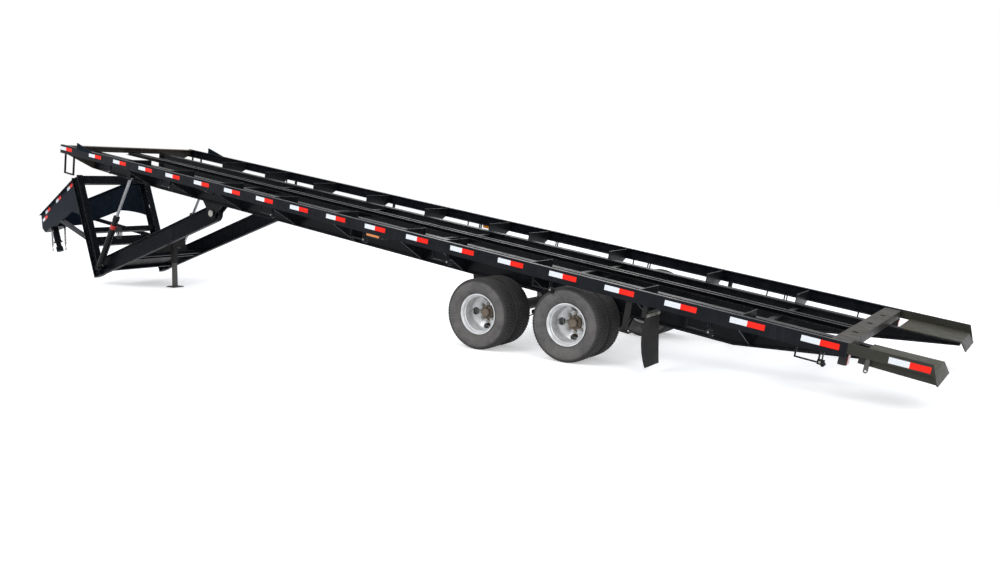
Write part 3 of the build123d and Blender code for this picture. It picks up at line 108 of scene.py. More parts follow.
def grid_faces(rows: int, columns: int, round_rows: bool = False, round_columns: bool = False) -> np.ndarray:
    """Return the four-cornered faces of a grid of points.

    Args:
        rows: points along the first parameter.
        columns: points along the second parameter.
        round_rows: whether the last row joins the first.
        round_columns: whether the last column joins the first.

    Returns:
        An array of corner numbers, four to a face, counted row by row.
    """
    i = np.arange(rows if round_rows else rows - 1)
    j = np.arange(columns if round_columns else columns - 1)
    a, b = np.meshgrid(i, j, indexing="ij")
    a2, b2 = (a + 1) % rows, (b + 1) % columns
    corners = (a * columns + b, a2 * columns + b, a2 * columns + b2, a * columns + b2)
    return np.stack(corners, axis=-1).reshape(-1, 4)


def join_shells(shells: list[Shell]) -> Shell:
    """Put several shells into one list of points and one of faces that count through them."""
    points, faces, start = [], [], 0
    for shell_points, shell_faces in shells:
        points.append(shell_points)
        faces.extend([int(corner) + start for corner in face] for face in shell_faces)
        start += len(shell_points)
    return np.concatenate(points), faces


def face_outwards(points: np.ndarray, faces: list) -> Shell:
    """Turn every face round if the closed shell's signed volume is negative.

    The volume is the sum of a . (b x c) / 6 over the triangles of each face's fan.
    """
    volume = 0.0
    for face in faces:
        corner = points[np.asarray(face)]
        volume += float(np.einsum("j,ij->", corner[0], np.cross(corner[1:-1], corner[2:])))
    return points, [face[::-1] for face in faces] if volume < 0 else faces


def close_ends(points: np.ndarray, faces: np.ndarray, count: int) -> Shell:
    """Close a tube, whose rings have count points, with a flat face at both ends."""
    last = len(points) - count
    ends = [list(range(count)), list(range(len(points) - 1, last - 1, -1))]
    return face_outwards(points, faces.tolist() + ends)


def block(centre: np.ndarray, axes: tuple, size: Triple, rounding: float = 0.0) -> Shell:
    """Return a block with its outline rounded in the plane of its first two axes.

    Each corner of the outline is a quarter circle about a point one corner radius inside it.

    Args:
        centre: the block's middle.
        axes: its three directions, right-handed.
        size: its extents along them.
        rounding: how much of the shorter side the corner rounding takes.

    Returns:
        Points and faces of the closed shell.
    """
    half = np.array(size) / 2
    corner = min(half[:2]) * rounding
    turns = np.linspace(0, np.pi / 2, 4 if rounding else 1)
    ring = []
    for quarter, signs in enumerate(((1, 1), (-1, 1), (-1, -1), (1, -1))):
        angle = turns + quarter * np.pi / 2
        quarter_circle = corner * np.stack([np.cos(angle), np.sin(angle)], axis=1)
        ring.append((half[:2] - corner) * signs + quarter_circle)
    outline = np.concatenate(ring)
    count = len(outline)
    ends = [np.column_stack([outline, np.full(count, end * half[2])]) for end in BOTH]
    points = centre + np.concatenate(ends) @ np.array(axes)
    index = np.arange(count)
    following = (index + 1) % count
    walls = np.stack([index, following, following + count, index + count], axis=1).tolist()
    return face_outwards(points, [*walls, index[::-1].tolist(), (index + count).tolist()])


def turned_solid(centre: np.ndarray, axis: np.ndarray, profile: list | tuple, steps: int) -> Shell:
    """Turn a profile about an axis and close both ends with flat faces.

    Each point is centre + axis * a + r * (u cos t + v sin t), with (a, r) from the profile and t
    round the circle.

    Args:
        centre: the origin on the axis.
        axis: the axis.
        profile: rows of distance along the axis and radius.
        steps: how many turns round.

    Returns:
        Points and faces.
    """
    axis = axis / np.linalg.norm(axis)
    u = np.cross(axis, AHEAD if abs(axis[0]) < 0.9 else UP)
    u /= np.linalg.norm(u)
    v = np.cross(axis, u)
    t = np.linspace(0, 2 * np.pi, steps, endpoint=False)[:, None]
    reach, radius = np.array(profile, float).T[:, :, None, None]
    points = centre + reach * axis + radius * (np.cos(t) * u + np.sin(t) * v)
    return close_ends(points.reshape(-1, 3), grid_faces(len(profile), steps, round_columns=True), steps)


def capped_tube(path: np.ndarray | list, radius: float | np.ndarray, sides: int,
                normal: np.ndarray) -> Shell:
    """Carry a circle along a path and close both ends with flat faces.

    At each point the circle lies in the plane of the path's normal and of the cross product of
    tangent and normal: place = path + radius * (n cos t + b sin t).

    Args:
        path: points of the middle line.
        radius: the tube's radius, or one for each point.
        sides: corners of the circle.
        normal: a direction square to the path's plane.

    Returns:
        Points and faces.
    """
    path = np.asarray(path, float)
    tangent = np.gradient(path, axis=0)
    tangent /= np.linalg.norm(tangent, axis=1, keepdims=True)
    binormal = np.cross(tangent, normal)
    binormal /= np.linalg.norm(binormal, axis=1, keepdims=True)
    square = np.cross(binormal, tangent)
    t = np.linspace(0, 2 * np.pi, sides, endpoint=False)[:, None]
    ring = np.cos(t) * square[:, None] + np.sin(t) * binormal[:, None]
    points = path[:, None] + np.broadcast_to(radius, len(path))[:, None, None] * ring
    faces = grid_faces(len(path), sides, round_columns=True)[:, ::-1]
    return close_ends(points.reshape(-1, 3), faces, sides)


def bolt(place: np.ndarray, axis: np.ndarray, radius: float, height: float) -> list[Shell]:
    """Return a hexagon head on a round washer, standing out along an axis."""
    washer = [(-0.002, radius * 1.35), (height * 0.2, radius * 1.35)]
    head = [(height * 0.2, radius), (height * 0.9, radius), (height, radius * 0.86)]
    return [turned_solid(place, axis, washer, 14), turned_solid(place, axis, head, 6)]


def smooth_path(corners: list, steps: int = 8) -> np.ndarray:
    """Return a Catmull-Rom curve through points.

    Between two points a and b with neighbours p and q the place at share t is
    (2a + (b-p)t + (2p-5a+4b-q)t^2 + (3a-p-3b+q)t^3) / 2.

    Args:
        corners: the points that the curve passes.
        steps: points to each stretch.

    Returns:
        The curve's points.
    """
    marks = np.asarray(corners, float)
    ring = np.concatenate([2 * marks[:1] - marks[1:2], marks, 2 * marks[-1:] - marks[-2:-1]])
    p, a, b, q = ring[:-3, None], ring[1:-2, None], ring[2:-1, None], ring[3:, None]
    t = np.linspace(0, 1, steps, endpoint=False)[None, :, None]
    bend = (2 * p - 5 * a + 4 * b - q) * t**2 + (3 * a - p - 3 * b + q) * t**3
    curve = (2 * a + (b - p) * t + bend) / 2
    return np.concatenate([curve.reshape(-1, 3), marks[-1:]])


def weld_bead(start: np.ndarray, end: np.ndarray, radius: float = 0.0045, pitch: float = 0.009) -> Shell:
    """Return a bead between two places: a rod whose radius swells in a row of ripples.

    The radius at a distance d is radius * (1 + 0.22 |sin(pi d / pitch)|).
    """
    length = float(np.linalg.norm(end - start))
    share = np.linspace(0, 1, max(4, min(90, int(2 * length / pitch))))
    wave = radius * (1 + 0.22 * np.abs(np.sin(np.pi * share * length / pitch)))
    normal = ACROSS if abs((end - start)[1]) < 0.7 * length else DECK_UP
    return capped_tube(start + (end - start) * share[:, None], wave, 6, normal)


# Node helpers and shared effects


class Bench:
    """A node tree with short calls to add and join its nodes."""

    def __init__(self, tree: Tree) -> None:
        """Keep the tree."""
        self.tree = tree

    def feed(self, socket: Socket, value: object) -> None:
        """Link a socket to another one, or set it to a number or to an RGB colour."""
        if isinstance(value, Socket):
            self.tree.links.new(value, socket)
        elif value is not None:
            socket.default_value = (*value, 1.0) if socket.type == "RGBA" else value

    def add(self, kind: str, feeds: dict | None = None, **settings: object) -> bpy.types.Node:
        """Add a node.

        Args:
            kind: the node's type name without its ShaderNode prefix.
            feeds: what each of its inputs takes, by name or number.
            settings: the node's own settings.

        Returns:
            The node.
        """
        node = self.tree.nodes.new("ShaderNode" + kind)
        for key, value in settings.items():
            setattr(node, key, value)
        for key, value in (feeds or {}).items():
            self.feed(node.inputs[key], value)
        return node

    def maths(self, operation: str, first: object, second: object, clamp: bool = False) -> Socket:
        """Add a Math node over sockets or numbers and return its result, clamped to 0..1 on demand."""
        return self.add("Math", {0: first, 1: second}, operation=operation, use_clamp=clamp).outputs[0]

    def times(self, first: object, second: object, clamp: bool = False) -> Socket:
        """Multiply two sockets or numbers."""
        return self.maths("MULTIPLY", first, second, clamp)

    def plus(self, first: object, second: object, clamp: bool = False) -> Socket:
        """Add two sockets or numbers."""
        return self.maths("ADD", first, second, clamp)

    def span(self, value: Socket, low: float, high: float) -> Socket:
        """Map a range onto 0..1 with a smooth step and return the socket."""
        feeds = {"Value": value, "From Min": low, "From Max": high, "To Min": 0.0, "To Max": 1.0}
        return self.add("MapRange", feeds, interpolation_type="SMOOTHSTEP").outputs["Result"]

    def noise(self, where: object, scale: float, detail: float, roughness: float = 0.55) -> Socket:
        """Add a noise texture over coordinates and return its value."""
        feeds = {"Vector": where, "Scale": scale, "Detail": detail, "Roughness": roughness}
        return self.add("TexNoise", feeds).outputs["Fac"]

    def blend(self, share: object, first: object, second: object) -> Socket:
        """Mix two colours, each a socket or an RGB triple, and return the result."""
        return self.add("Mix", {0: share, 6: first, 7: second}, data_type="RGBA").outputs[2]

    def seen(self) -> Socket:
        """Return 1 for rays of the camera and of clear or mirror-like reflections."""
        path = self.add("LightPath").outputs
        seen = self.maths("MAXIMUM", path["Is Camera Ray"], path["Is Glossy Ray"])
        return self.maths("MAXIMUM", seen, path["Is Transmission Ray"])


class GroupBench(Bench):
    """The bench of a new node group with a Coordinates input and number inputs."""

    def __init__(self, name: str, inputs: dict[str, float], outputs: dict[str, str]) -> None:
        """Open the group.

        Args:
            name: the group's name.
            inputs: number inputs with their starting values.
            outputs: output names with the kind of each.
        """
        super().__init__(bpy.data.node_groups.new(name, "ShaderNodeTree"))
        sockets = self.tree.interface
        sockets.new_socket(name="Coordinates", in_out="INPUT", socket_type="NodeSocketVector")
        for key, value in inputs.items():
            sockets.new_socket(name=key, in_out="INPUT", socket_type="NodeSocketFloat").default_value = value
        for key, kind in outputs.items():
            sockets.new_socket(name=key, in_out="OUTPUT", socket_type="NodeSocket" + kind)
        self.given = self.tree.nodes.new("NodeGroupInput").outputs
        self.results = self.tree.nodes.new("NodeGroupOutput").inputs
        self.where = self.given["Coordinates"]

    def close(self, results: dict[str, Socket]) -> Tree:
        """Feed the group's outputs and return its tree."""
        for key, value in results.items():
            self.feed(self.results[key], value)
        return self.tree

    def scaled(self) -> Socket:
        """Return the coordinates times the Scale input."""
        feeds = {0: self.where, "Scale": self.given["Scale"]}
        return self.add("VectorMath", feeds, operation="SCALE").outputs[0]


class MaterialBench(Bench):
    """The bench of a new material with its shader's inputs."""

    def __init__(self, name: str) -> None:
        """Open the material."""
        self.material = bpy.data.materials.new(name)
        self.material.use_nodes = True
        super().__init__(self.material.node_tree)
        self.shader = self.tree.nodes["Principled BSDF"]
        self.where = self.add("TexCoord").outputs["Object"]

    def group(self, tree: Tree, **values: float) -> bpy.types.bpy_prop_collection:
        """Place a node group with its own values and return its outputs."""
        return self.add("Group", {"Coordinates": self.where, **values}, node_tree=tree).outputs

    def bump(self, height: Socket, strength: float, distance: float, normal: Socket | None = None) -> Socket:
        """Add a bump over a height and return its normal."""
        feeds = {"Strength": strength, "Distance": distance, "Height": height, "Normal": normal}
        return self.add("Bump", feeds).outputs["Normal"]

    def close(self, feeds: dict[str, object]) -> Material:
        """Feed the shader's inputs and return the material."""
        for key, value in feeds.items():
            self.feed(self.shader.inputs[key], value)
        return self.material


class Effects:
    """The node groups that the finishes share."""

    def __init__(self) -> None:
        """Build every group once."""
        self.dust = self.build_dust_and_sheen()
        self.wear = self.build_wear()
        self.skin = self.build_skin()
        self.streaks = self.build_streaks()

    @staticmethod
    def build_dust_and_sheen() -> Tree:
        """Dust that settles on what faces up, and on the black paints a painted sheen of sky reflection on
        upward faces: fine noise times cloudy noise, plus the upward share.
        """
        bench = GroupBench("settled_dust_and_sheen", {"Scale": 1.0, "Cover": 0.4, "Upward": 0.5}, {"Mask": "Float"})
        where = bench.scaled()
        cloud = bench.span(bench.noise(where, 2.3, 5.0), 0.35, 0.7)
        grit = bench.span(bench.noise(where, 60.0, 3.0, 0.7), 0.3, 0.75)
        parts = bench.add("SeparateXYZ", {0: bench.add("NewGeometry").outputs["Normal"]})
        up = bench.span(parts.outputs["Z"], 0.2, 0.95)
        amount = bench.plus(bench.times(up, bench.given["Upward"]), bench.given["Cover"])
        cloudy = bench.plus(bench.times(cloud, 0.7), 0.3)
        gritty = bench.plus(bench.times(grit, 0.6), 0.5)
        return bench.close({"Mask": bench.times(bench.times(amount, cloudy), gritty, clamp=True)})

    @staticmethod
    def build_wear() -> Tree:
        """Worn edges: where the rounded normal leaves the flat one, broken up by noise."""
        outputs = {"Mask": "Float", "Normal": "Vector"}
        bench = GroupBench("edge_wear", {"Radius": 0.004, "Amount": 0.5}, outputs)
        bevel = bench.add("Bevel", {"Radius": bench.given["Radius"]}, samples=4).outputs["Normal"]
        flat = bench.add("NewGeometry").outputs["Normal"]
        likeness = bench.add("VectorMath", {0: bevel, 1: flat}, operation="DOT_PRODUCT").outputs["Value"]
        bend = bench.span(bench.maths("SUBTRACT", 1.0, likeness), 0.03, 0.3)
        chips = bench.span(bench.noise(bench.where, 34.0, 5.0, 0.7), 0.42, 0.62)
        worn = bench.times(bench.times(bend, chips), bench.given["Amount"], clamp=True)
        return bench.close({"Mask": worn, "Normal": bevel})

    @staticmethod
    def build_skin() -> Tree:
        """The fine ripple of sprayed paint: two scales of noise added as a height."""
        bench = GroupBench("paint_skin", {"Scale": 1.0}, {"Height": "Float", "Change": "Float"})
        where = bench.scaled()
        fine = bench.noise(where, 260.0, 2.0)
        broad = bench.noise(where, 11.0, 3.0)
        height = bench.plus(bench.times(fine, 0.35), broad)
        return bench.close({"Height": height, "Change": bench.span(broad, 0.3, 0.7)})

    @staticmethod
    def build_streaks() -> Tree:
        """Rain streaks: noise stretched down the height, so it is long in Z and short across."""
        bench = GroupBench("rain_streaks", {"Amount": 0.3}, {"Mask": "Float"})
        mapping = bench.add("Mapping", {"Vector": bench.where, "Scale": (30.0, 30.0, 1.6)})
        lines = bench.span(bench.noise(mapping.outputs[0], 1.0, 3.0), 0.5, 0.72)
        patches = bench.span(bench.noise(bench.where, 1.7, 2.0), 0.4, 0.65)
        mask = bench.times(bench.times(lines, patches), bench.given["Amount"], clamp=True)
        return bench.close({"Mask": mask})


# Finishes


@dataclass(frozen=True)
class Finish:
    """A painted, metal or plastic surface with dust, a painted sheen of sky reflection on the upward faces of
    the black paints, worn edges and a fine ripple.
    """

    name: str
    colour: Triple
    roughness: float = 0.3
    metallic: float = 0.0
    coat: float = 0.0
    coat_roughness: float = 0.12
    shade_gain: float = 1.35
    shade_lift: float = 0.002
    # On the black paints the dust colour and the upward share also paint a sheen of sky reflection on upward
    # faces.
    dust_colour: Triple = (0.16, 0.145, 0.12)
    dust_cover: float = 0.1
    upward_dust_and_sheen: float = 0.3
    dust_roughness: float = 0.45
    worn_colour: Triple = (0.2, 0.2, 0.2)
    worn_amount: float = 0.25
    edge_radius: float = 0.004
    ripple: float = 0.02
    ripple_scale: float = 1.0
    ripple_depth: float = 0.002
    streak_amount: float = 0.15
    shine: float = 0.5
    feel: Feel = Feel.SATIN

    def build(self, effects: Effects) -> Material:
        """Make the material from the shared node groups."""
        bench = MaterialBench(self.name)
        # On the black paints this mask also lays their bluish dust colour on upward faces as a painted sheen
        # of sky reflection, besides dust.
        dust = bench.group(effects.dust, Scale=1.0, Cover=self.dust_cover, Upward=self.upward_dust_and_sheen)
        wear = bench.group(effects.wear, Radius=self.edge_radius, Amount=self.worn_amount)
        skin = bench.group(effects.skin, Scale=self.ripple_scale)
        streaks = bench.group(effects.streaks, Amount=self.streak_amount)
        shade = tuple(min(1.0, c * self.shade_gain + self.shade_lift) for c in self.colour)
        base = bench.blend(skin["Change"], self.colour, shade)
        base = bench.blend(wear["Mask"], base, self.worn_colour)
        dirt_and_sheen = bench.maths("MAXIMUM", dust["Mask"], streaks["Mask"])
        rough = bench.plus(bench.times(skin["Change"], self.feel.value), self.roughness)
        rough = bench.plus(rough, bench.times(dirt_and_sheen, self.dust_roughness), clamp=True)
        return bench.close({
            "Base Color": bench.blend(dirt_and_sheen, base, self.dust_colour),
            "Roughness": rough,
            "Metallic": self.metallic,
            "Specular IOR Level": self.shine,
            "Coat Weight": self.coat,
            "Coat Roughness": self.coat_roughness,
            "Normal": bench.bump(skin["Height"], self.ripple, self.ripple_depth, wear["Normal"]),
        })


@dataclass(frozen=True)
class TapeFinish:
    """Reflective tape: a plain bright colour with the cells of its prism sheet."""

    name: str
    colour: Triple
    dust_colour: Triple = (0.3, 0.28, 0.25)
    cell_scale: float = 180.0
    cell_shade: float = 0.8

    def build(self, effects: Effects) -> Material:
        """Make the material from a cell pattern over the two directions of the tape."""
        bench = MaterialBench(self.name)
        feeds = {"Vector": bench.where, "Scale": self.cell_scale}
        cells = bench.add("TexVoronoi", feeds, feature="DISTANCE_TO_EDGE")
        lines = bench.span(cells.outputs["Distance"], 0.02, 0.12)
        dust = bench.group(effects.dust, Scale=1.0, Cover=0.06, Upward=0.0)
        base = bench.blend(lines, tuple(c * self.cell_shade for c in self.colour), self.colour)
        return bench.close({
            "Base Color": bench.blend(dust["Mask"], base, self.dust_colour),
            "Roughness": 0.35,
            "Specular IOR Level": 0.12,
            "Normal": bench.bump(lines, 0.15, 0.001),
        })


@dataclass(frozen=True)
class TyreFinish:
    """Rubber whose sidewall is grey with road dust and whose tread is dark, with painted shade in its sipes
    and grooves.
    """

    name: str
    sidewall: Triple = (0.068, 0.065, 0.064)
    tread: Triple = (0.014, 0.0135, 0.0135)
    dust_colour: Triple = (0.2, 0.185, 0.17)
    shade_gain: float = 1.5

    def build(self, effects: Effects) -> Material:
        """Make the material from the tread share, with painted shade in the sipes and grooves, that the tyre's
        mesh holds.
        """
        bench = MaterialBench(self.name)
        # The share is 1 in the sipes and grooves: painted shade in the tread's hollows, darker than the
        # blocks' tops.
        share = bench.add("Attribute", attribute_name="tread_and_groove_shade").outputs["Fac"]
        dust = bench.group(effects.dust, Scale=1.7, Cover=0.45, Upward=0.0)["Mask"]
        skin = bench.group(effects.skin, Scale=1.4)
        wear = bench.group(effects.wear, Radius=0.004, Amount=0.9)
        side = bench.blend(skin["Change"], self.sidewall, tuple(c * self.shade_gain for c in self.sidewall))
        side = bench.blend(dust, side, self.dust_colour)
        crown = bench.blend(wear["Mask"], self.tread, self.dust_colour)
        return bench.close({
            "Base Color": bench.blend(share, side, crown),
            "Roughness": bench.plus(bench.times(dust, 0.2), 0.68, clamp=True),
            "Specular IOR Level": 0.2,
            "Normal": bench.bump(skin["Height"], 0.3, 0.002),
        })


@dataclass(frozen=True)
class LensFinish:
    """A moulded lamp lens with fine ribs."""

    name: str
    colour: Triple
    rib_scale: float = 95.0

    def build(self, effects: Effects) -> Material:
        """Make the material from ribs across the lens."""
        bench = MaterialBench(self.name)
        waves = {"Vector": bench.where, "Scale": self.rib_scale}
        ribs = bench.add("TexWave", waves, wave_type="BANDS", bands_direction="DIAGONAL").outputs["Fac"]
        return bench.close({
            "Base Color": bench.blend(ribs, tuple(c * 0.5 for c in self.colour), self.colour),
            "Roughness": 0.14,
            "Coat Weight": 0.6,
            "Normal": bench.bump(ribs, 0.3, 0.001),
        })


@dataclass
class Finishes:
    """Every material of the trailer, by name."""

    effects: Effects
    made: dict[str, Material] = field(default_factory=dict)

    LIST = (
        # frame_black, beam_black and neck_black take a bluish dust colour that is partly dust and partly a
        # painted sheen of sky reflection on their upward faces.
        Finish("frame_black", (0.0035, 0.0042, 0.0062), 0.26, dust_colour=(0.04, 0.046, 0.06),
               dust_cover=0.05, upward_dust_and_sheen=0.5, worn_amount=0.35,
               ripple=0.05, shine=0.1, feel=Feel.GLOSS),
        Finish("beam_black", (0.0035, 0.0038, 0.0048), 0.26, dust_colour=(0.045, 0.048, 0.055),
               dust_cover=0.06, upward_dust_and_sheen=0.55, worn_amount=0.5, worn_colour=(0.26, 0.25, 0.23),
               ripple=0.05, shine=0.08),
        # neck_black's light worn colour on the edges is worn bare steel and partly a painted edge highlight.
        Finish("neck_black", (0.0025, 0.003, 0.0042), 0.3, dust_colour=(0.03, 0.04, 0.055),
               dust_cover=0.03, upward_dust_and_sheen=0.6, worn_amount=0.85, worn_colour=(0.4, 0.41, 0.42),
               ripple=0.04, shine=0.04, feel=Feel.GLOSS),
        # The gooseneck plates' and guides' blue tint and bluish upward colour are a painted sky reflection on
        # black paint, not blue paint.
        Finish("plate_painted_sky_sheen", (0.0035, 0.006, 0.0105), 0.42, dust_colour=(0.02, 0.035, 0.06),
               dust_cover=0.06, upward_dust_and_sheen=0.4, worn_amount=0.4, worn_colour=(0.2, 0.23, 0.27),
               ripple=0.04, shine=0.02, feel=Feel.GLOSS),
        Finish("tail_dusty", (0.011, 0.011, 0.0085), 0.36, dust_colour=(0.075, 0.072, 0.05),
               dust_cover=0.3, upward_dust_and_sheen=0.75, worn_amount=0.7, worn_colour=(0.26, 0.25, 0.21),
               ripple=0.12, shine=0.25, feel=Feel.DULL),
        Finish("tube_dusty", (0.009, 0.008, 0.0068), 0.36, dust_colour=(0.09, 0.078, 0.062),
               dust_cover=0.16, upward_dust_and_sheen=0.5, worn_amount=0.8, worn_colour=(0.26, 0.24, 0.2),
               ripple=0.12, shine=0.2, feel=Feel.DULL),
        Finish("crossbar_dusty", (0.016, 0.014, 0.012), 0.35, dust_colour=(0.28, 0.23, 0.18),
               upward_dust_and_sheen=0.8, ripple=0.1, shine=0.2, feel=Feel.DULL),
        Finish("chassis_black", (0.0045, 0.0045, 0.005), 0.42, dust_colour=(0.05, 0.046, 0.04),
               dust_cover=0.18, ripple=0.15, shine=0.2, feel=Feel.DULL),
        Finish("cylinder_black", (0.004, 0.004, 0.0045), 0.2, dust_colour=(0.05, 0.05, 0.05),
               dust_cover=0.06, worn_amount=0.3, worn_colour=(0.25, 0.25, 0.25), ripple=0.03,
               shine=0.12, feel=Feel.GLOSS),
        Finish("rod_chrome", (0.2, 0.204, 0.215), 0.16, metallic=1.0, dust_cover=0.02,
               upward_dust_and_sheen=0.05, worn_amount=0.0, ripple=0.01, streak_amount=0.05, feel=Feel.GLOSS),
        Finish("chain_zinc", (0.34, 0.34, 0.33), 0.38, metallic=0.9, dust_colour=(0.2, 0.18, 0.15),
               dust_cover=0.3, upward_dust_and_sheen=0.2, worn_amount=0.3, edge_radius=0.001, ripple=0.1,
               ripple_scale=3.0, feel=Feel.DULL),
        Finish("worn_steel", (0.08, 0.08, 0.08), 0.4, metallic=0.8, dust_colour=(0.09, 0.08, 0.065),
               dust_cover=0.3, ripple=0.1, shine=0.3, feel=Feel.DULL),
        Finish("bolt_zinc", (0.3, 0.29, 0.26), 0.34, metallic=0.85, dust_cover=0.2,
               worn_amount=0.4, worn_colour=(0.6, 0.58, 0.54), edge_radius=0.001, ripple=0.08),
        Finish("rim_silver", (0.55, 0.555, 0.56), 0.3, metallic=0.3, coat=0.15,
               dust_colour=(0.2, 0.17, 0.13), dust_cover=0.12, upward_dust_and_sheen=0.1, worn_amount=0.1,
               edge_radius=0.003, ripple=0.05),
        Finish("hub_brown", (0.13, 0.1, 0.075), 0.34, metallic=0.45, dust_colour=(0.16, 0.13, 0.1),
               dust_cover=0.2, worn_amount=0.8, worn_colour=(0.5, 0.44, 0.36), edge_radius=0.003,
               ripple=0.2, feel=Feel.DULL),
        Finish("flap_rubber", (0.006, 0.006, 0.0065), 0.6, dust_colour=(0.05, 0.047, 0.042),
               dust_cover=0.14, upward_dust_and_sheen=0.0, ripple=0.3, ripple_scale=0.8,
               shine=0.25, feel=Feel.DULL),
        Finish("hose_rubber", (0.006, 0.006, 0.0065), 0.42, dust_colour=(0.06, 0.055, 0.05),
               dust_cover=0.12, worn_amount=0.0, ripple=0.2, ripple_scale=2.0, shine=0.3),
        Finish("lamp_black", (0.006, 0.006, 0.006), 0.4, worn_amount=0.1,
               edge_radius=0.002, ripple=0.1, shine=0.25),
        Finish("band_red", (0.42, 0.015, 0.01), 0.3, dust_cover=0.08, worn_amount=0.2,
               edge_radius=0.001, ripple=0.02, shine=0.3),
        TyreFinish("tyre_rubber"),
        TapeFinish("tape_white", (0.8, 0.83, 0.86)),
        TapeFinish("tape_red", (0.95, 0.014, 0.004)),
        LensFinish("lens_red", (0.5, 0.012, 0.01)),
        LensFinish("lens_amber", (0.95, 0.28, 0.02)),
    )

    def build(self) -> None:
        """Make every material once."""
        for finish in self.LIST:
            self.made[finish.name] = finish.build(self.effects)

    def dress(self, thing: bpy.types.Object, name: str) -> None:
        """Give an object one finish in place of what it had."""
        thing.data.materials.clear()
        thing.data.materials.append(self.made[name])


# Studio


@dataclass
class Studio:
    """Floor, light and camera."""

    camera_place: Triple = (-8.2144, 8.8942, 1.8309)
    camera_turn: Triple = (82.75217, -0.77121, -143.84684)
    lens: float = 32.0588
    sensor: float = 36.0
    far: float = 400.0
    shift: tuple[float, float] = (0.055393, 0.007588)
    floor_half: float = 60.0
    floor_lift: float = 0.42
    LAMPS = (
        ("key", (2.0, 14.0, 13.0), (0.0, 0.0, 0.5), 9.0, 1500.0),
        ("fill", (-16.0, 6.0, 8.0), (-2.0, 0.0, 0.8), 10.0, 700.0),
        ("back", (4.0, -14.0, 9.0), (0.0, 0.0, 0.8), 10.0, 600.0),
    )

    def build(self) -> None:
        """Set the camera, the floor, the lamps and the world."""
        scene = bpy.context.scene
        scene.view_settings.view_transform = "Standard"
        data = bpy.data.cameras.new("camera")
        data.lens = self.lens
        data.sensor_width = self.sensor
        data.shift_x, data.shift_y = self.shift
        data.clip_end = self.far
        camera = bpy.data.objects.new("camera", data)
        camera.location = self.camera_place
        camera.rotation_euler = tuple(math.radians(a) for a in self.camera_turn)
        scene.collection.objects.link(camera)
        scene.camera = camera
        self.floor()
        for row in self.LAMPS:
            self.lamp(*row)
        self.world()

    def floor(self) -> None:
        """A large pale sheet under the trailer that the camera sees as white."""
        half = self.floor_half
        corners = [(x * half, y * half, 0.0) for x, y in ((-1, -1), (1, -1), (1, 1), (-1, 1))]
        mesh = bpy.data.meshes.new("floor")
        mesh.from_pydata(corners, [], [[0, 1, 2, 3]])
        sheet = bpy.data.objects.new("floor", mesh)
        bpy.context.scene.collection.objects.link(sheet)
        bench = MaterialBench("floor_pale")
        tone = bench.blend(bench.noise(bench.where, 0.6, 3.0), (0.86, 0.86, 0.86), (0.9, 0.9, 0.9))
        mesh.materials.append(bench.close({"Base Color": tone, "Roughness": 0.9, "Specular IOR Level": 0.1}))
        glow = bench.add("Emission", {"Strength": bench.times(bench.seen(), self.floor_lift)})
        both = bench.add("AddShader", {0: bench.shader.outputs[0], 1: glow.outputs[0]})
        bench.feed(bench.tree.nodes["Material Output"].inputs["Surface"], both.outputs[0])

    @staticmethod
    def lamp(name: str, place: tuple, aim: tuple, size: float, power: float) -> None:
        """Add a square soft lamp that looks at a point."""
        data = bpy.data.lights.new(name, "AREA")
        data.size = size
        data.energy = power
        thing = bpy.data.objects.new(name, data)
        thing.location = place
        thing.rotation_euler = (Vector(aim) - Vector(place)).to_track_quat("-Z", "Y").to_euler()
        bpy.context.scene.collection.objects.link(thing)

    @staticmethod
    def world() -> None:
        """Pale surroundings: white to the camera and to reflections, softer as light."""
        world = bpy.data.worlds.new("studio")
        bpy.context.scene.world = world
        world.use_nodes = True
        world.node_tree.nodes.clear()
        bench = Bench(world.node_tree)
        soft = bench.add("Background", {"Color": (0.9, 0.94, 1.0), "Strength": 0.75}).outputs[0]
        white = bench.add("Background", {"Color": (1.0, 1.0, 1.0), "Strength": 1.0}).outputs[0]
        mix = bench.add("MixShader", {0: bench.seen(), 1: soft, 2: white})
        bench.add("OutputWorld", {"Surface": mix.outputs[0]})


# Sub-assemblies


@dataclass
class Frame:
    """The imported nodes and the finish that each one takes."""

    nodes: dict[str, bpy.types.Object]
    finishes: Finishes
    FINISH_OF = {
        "tail_dusty": ("approach_plates",),
        "tube_dusty": ("rear_cross_tube",),
        "crossbar_dusty": ("front_crossbar",),
        "beam_black": ("main_beams", "crossmembers", "centre_track", "outriggers",
                       "cylinder_brackets", "hinge_lugs"),
        "neck_black": ("neck_", "gooseneck_nose", "knee_braces", "coupler", "cylinder_stubs"),
        "plate_painted_sky_sheen": ("gooseneck_sides", "front_guides"),
        "chassis_black": ("spring_hangers", "leaf_springs", "rockers", "front_axle", "rear_axle",
                          "flap_hangers", "power_unit", "jack_body"),
        "cylinder_black": ("barrel_",),
        "rod_chrome": ("rod_",),
        "worn_steel": ("jack_leg", "tail_eyes"),
        "lamp_black": ("tail_lamps",),
        "lens_red": ("tail_lenses",),
        "lens_amber": ("marker_lamps",),
        "rim_silver": ("rims_",),
        "hub_brown": ("hub_",),
        "tyre_rubber": ("tyres_",),
        "flap_rubber": ("mudflap_",),
        "chain_zinc": ("safety_chains",),
    }

    def dress(self) -> None:
        """Give each node the finish that lists its name's start, or else the frame's black."""
        for node, thing in self.nodes.items():
            found = (finish for finish, starts in self.FINISH_OF.items() if node.startswith(starts))
            self.finishes.dress(thing, next(found, "frame_black"))
        LOG.info("dressed %d nodes", len(self.nodes))


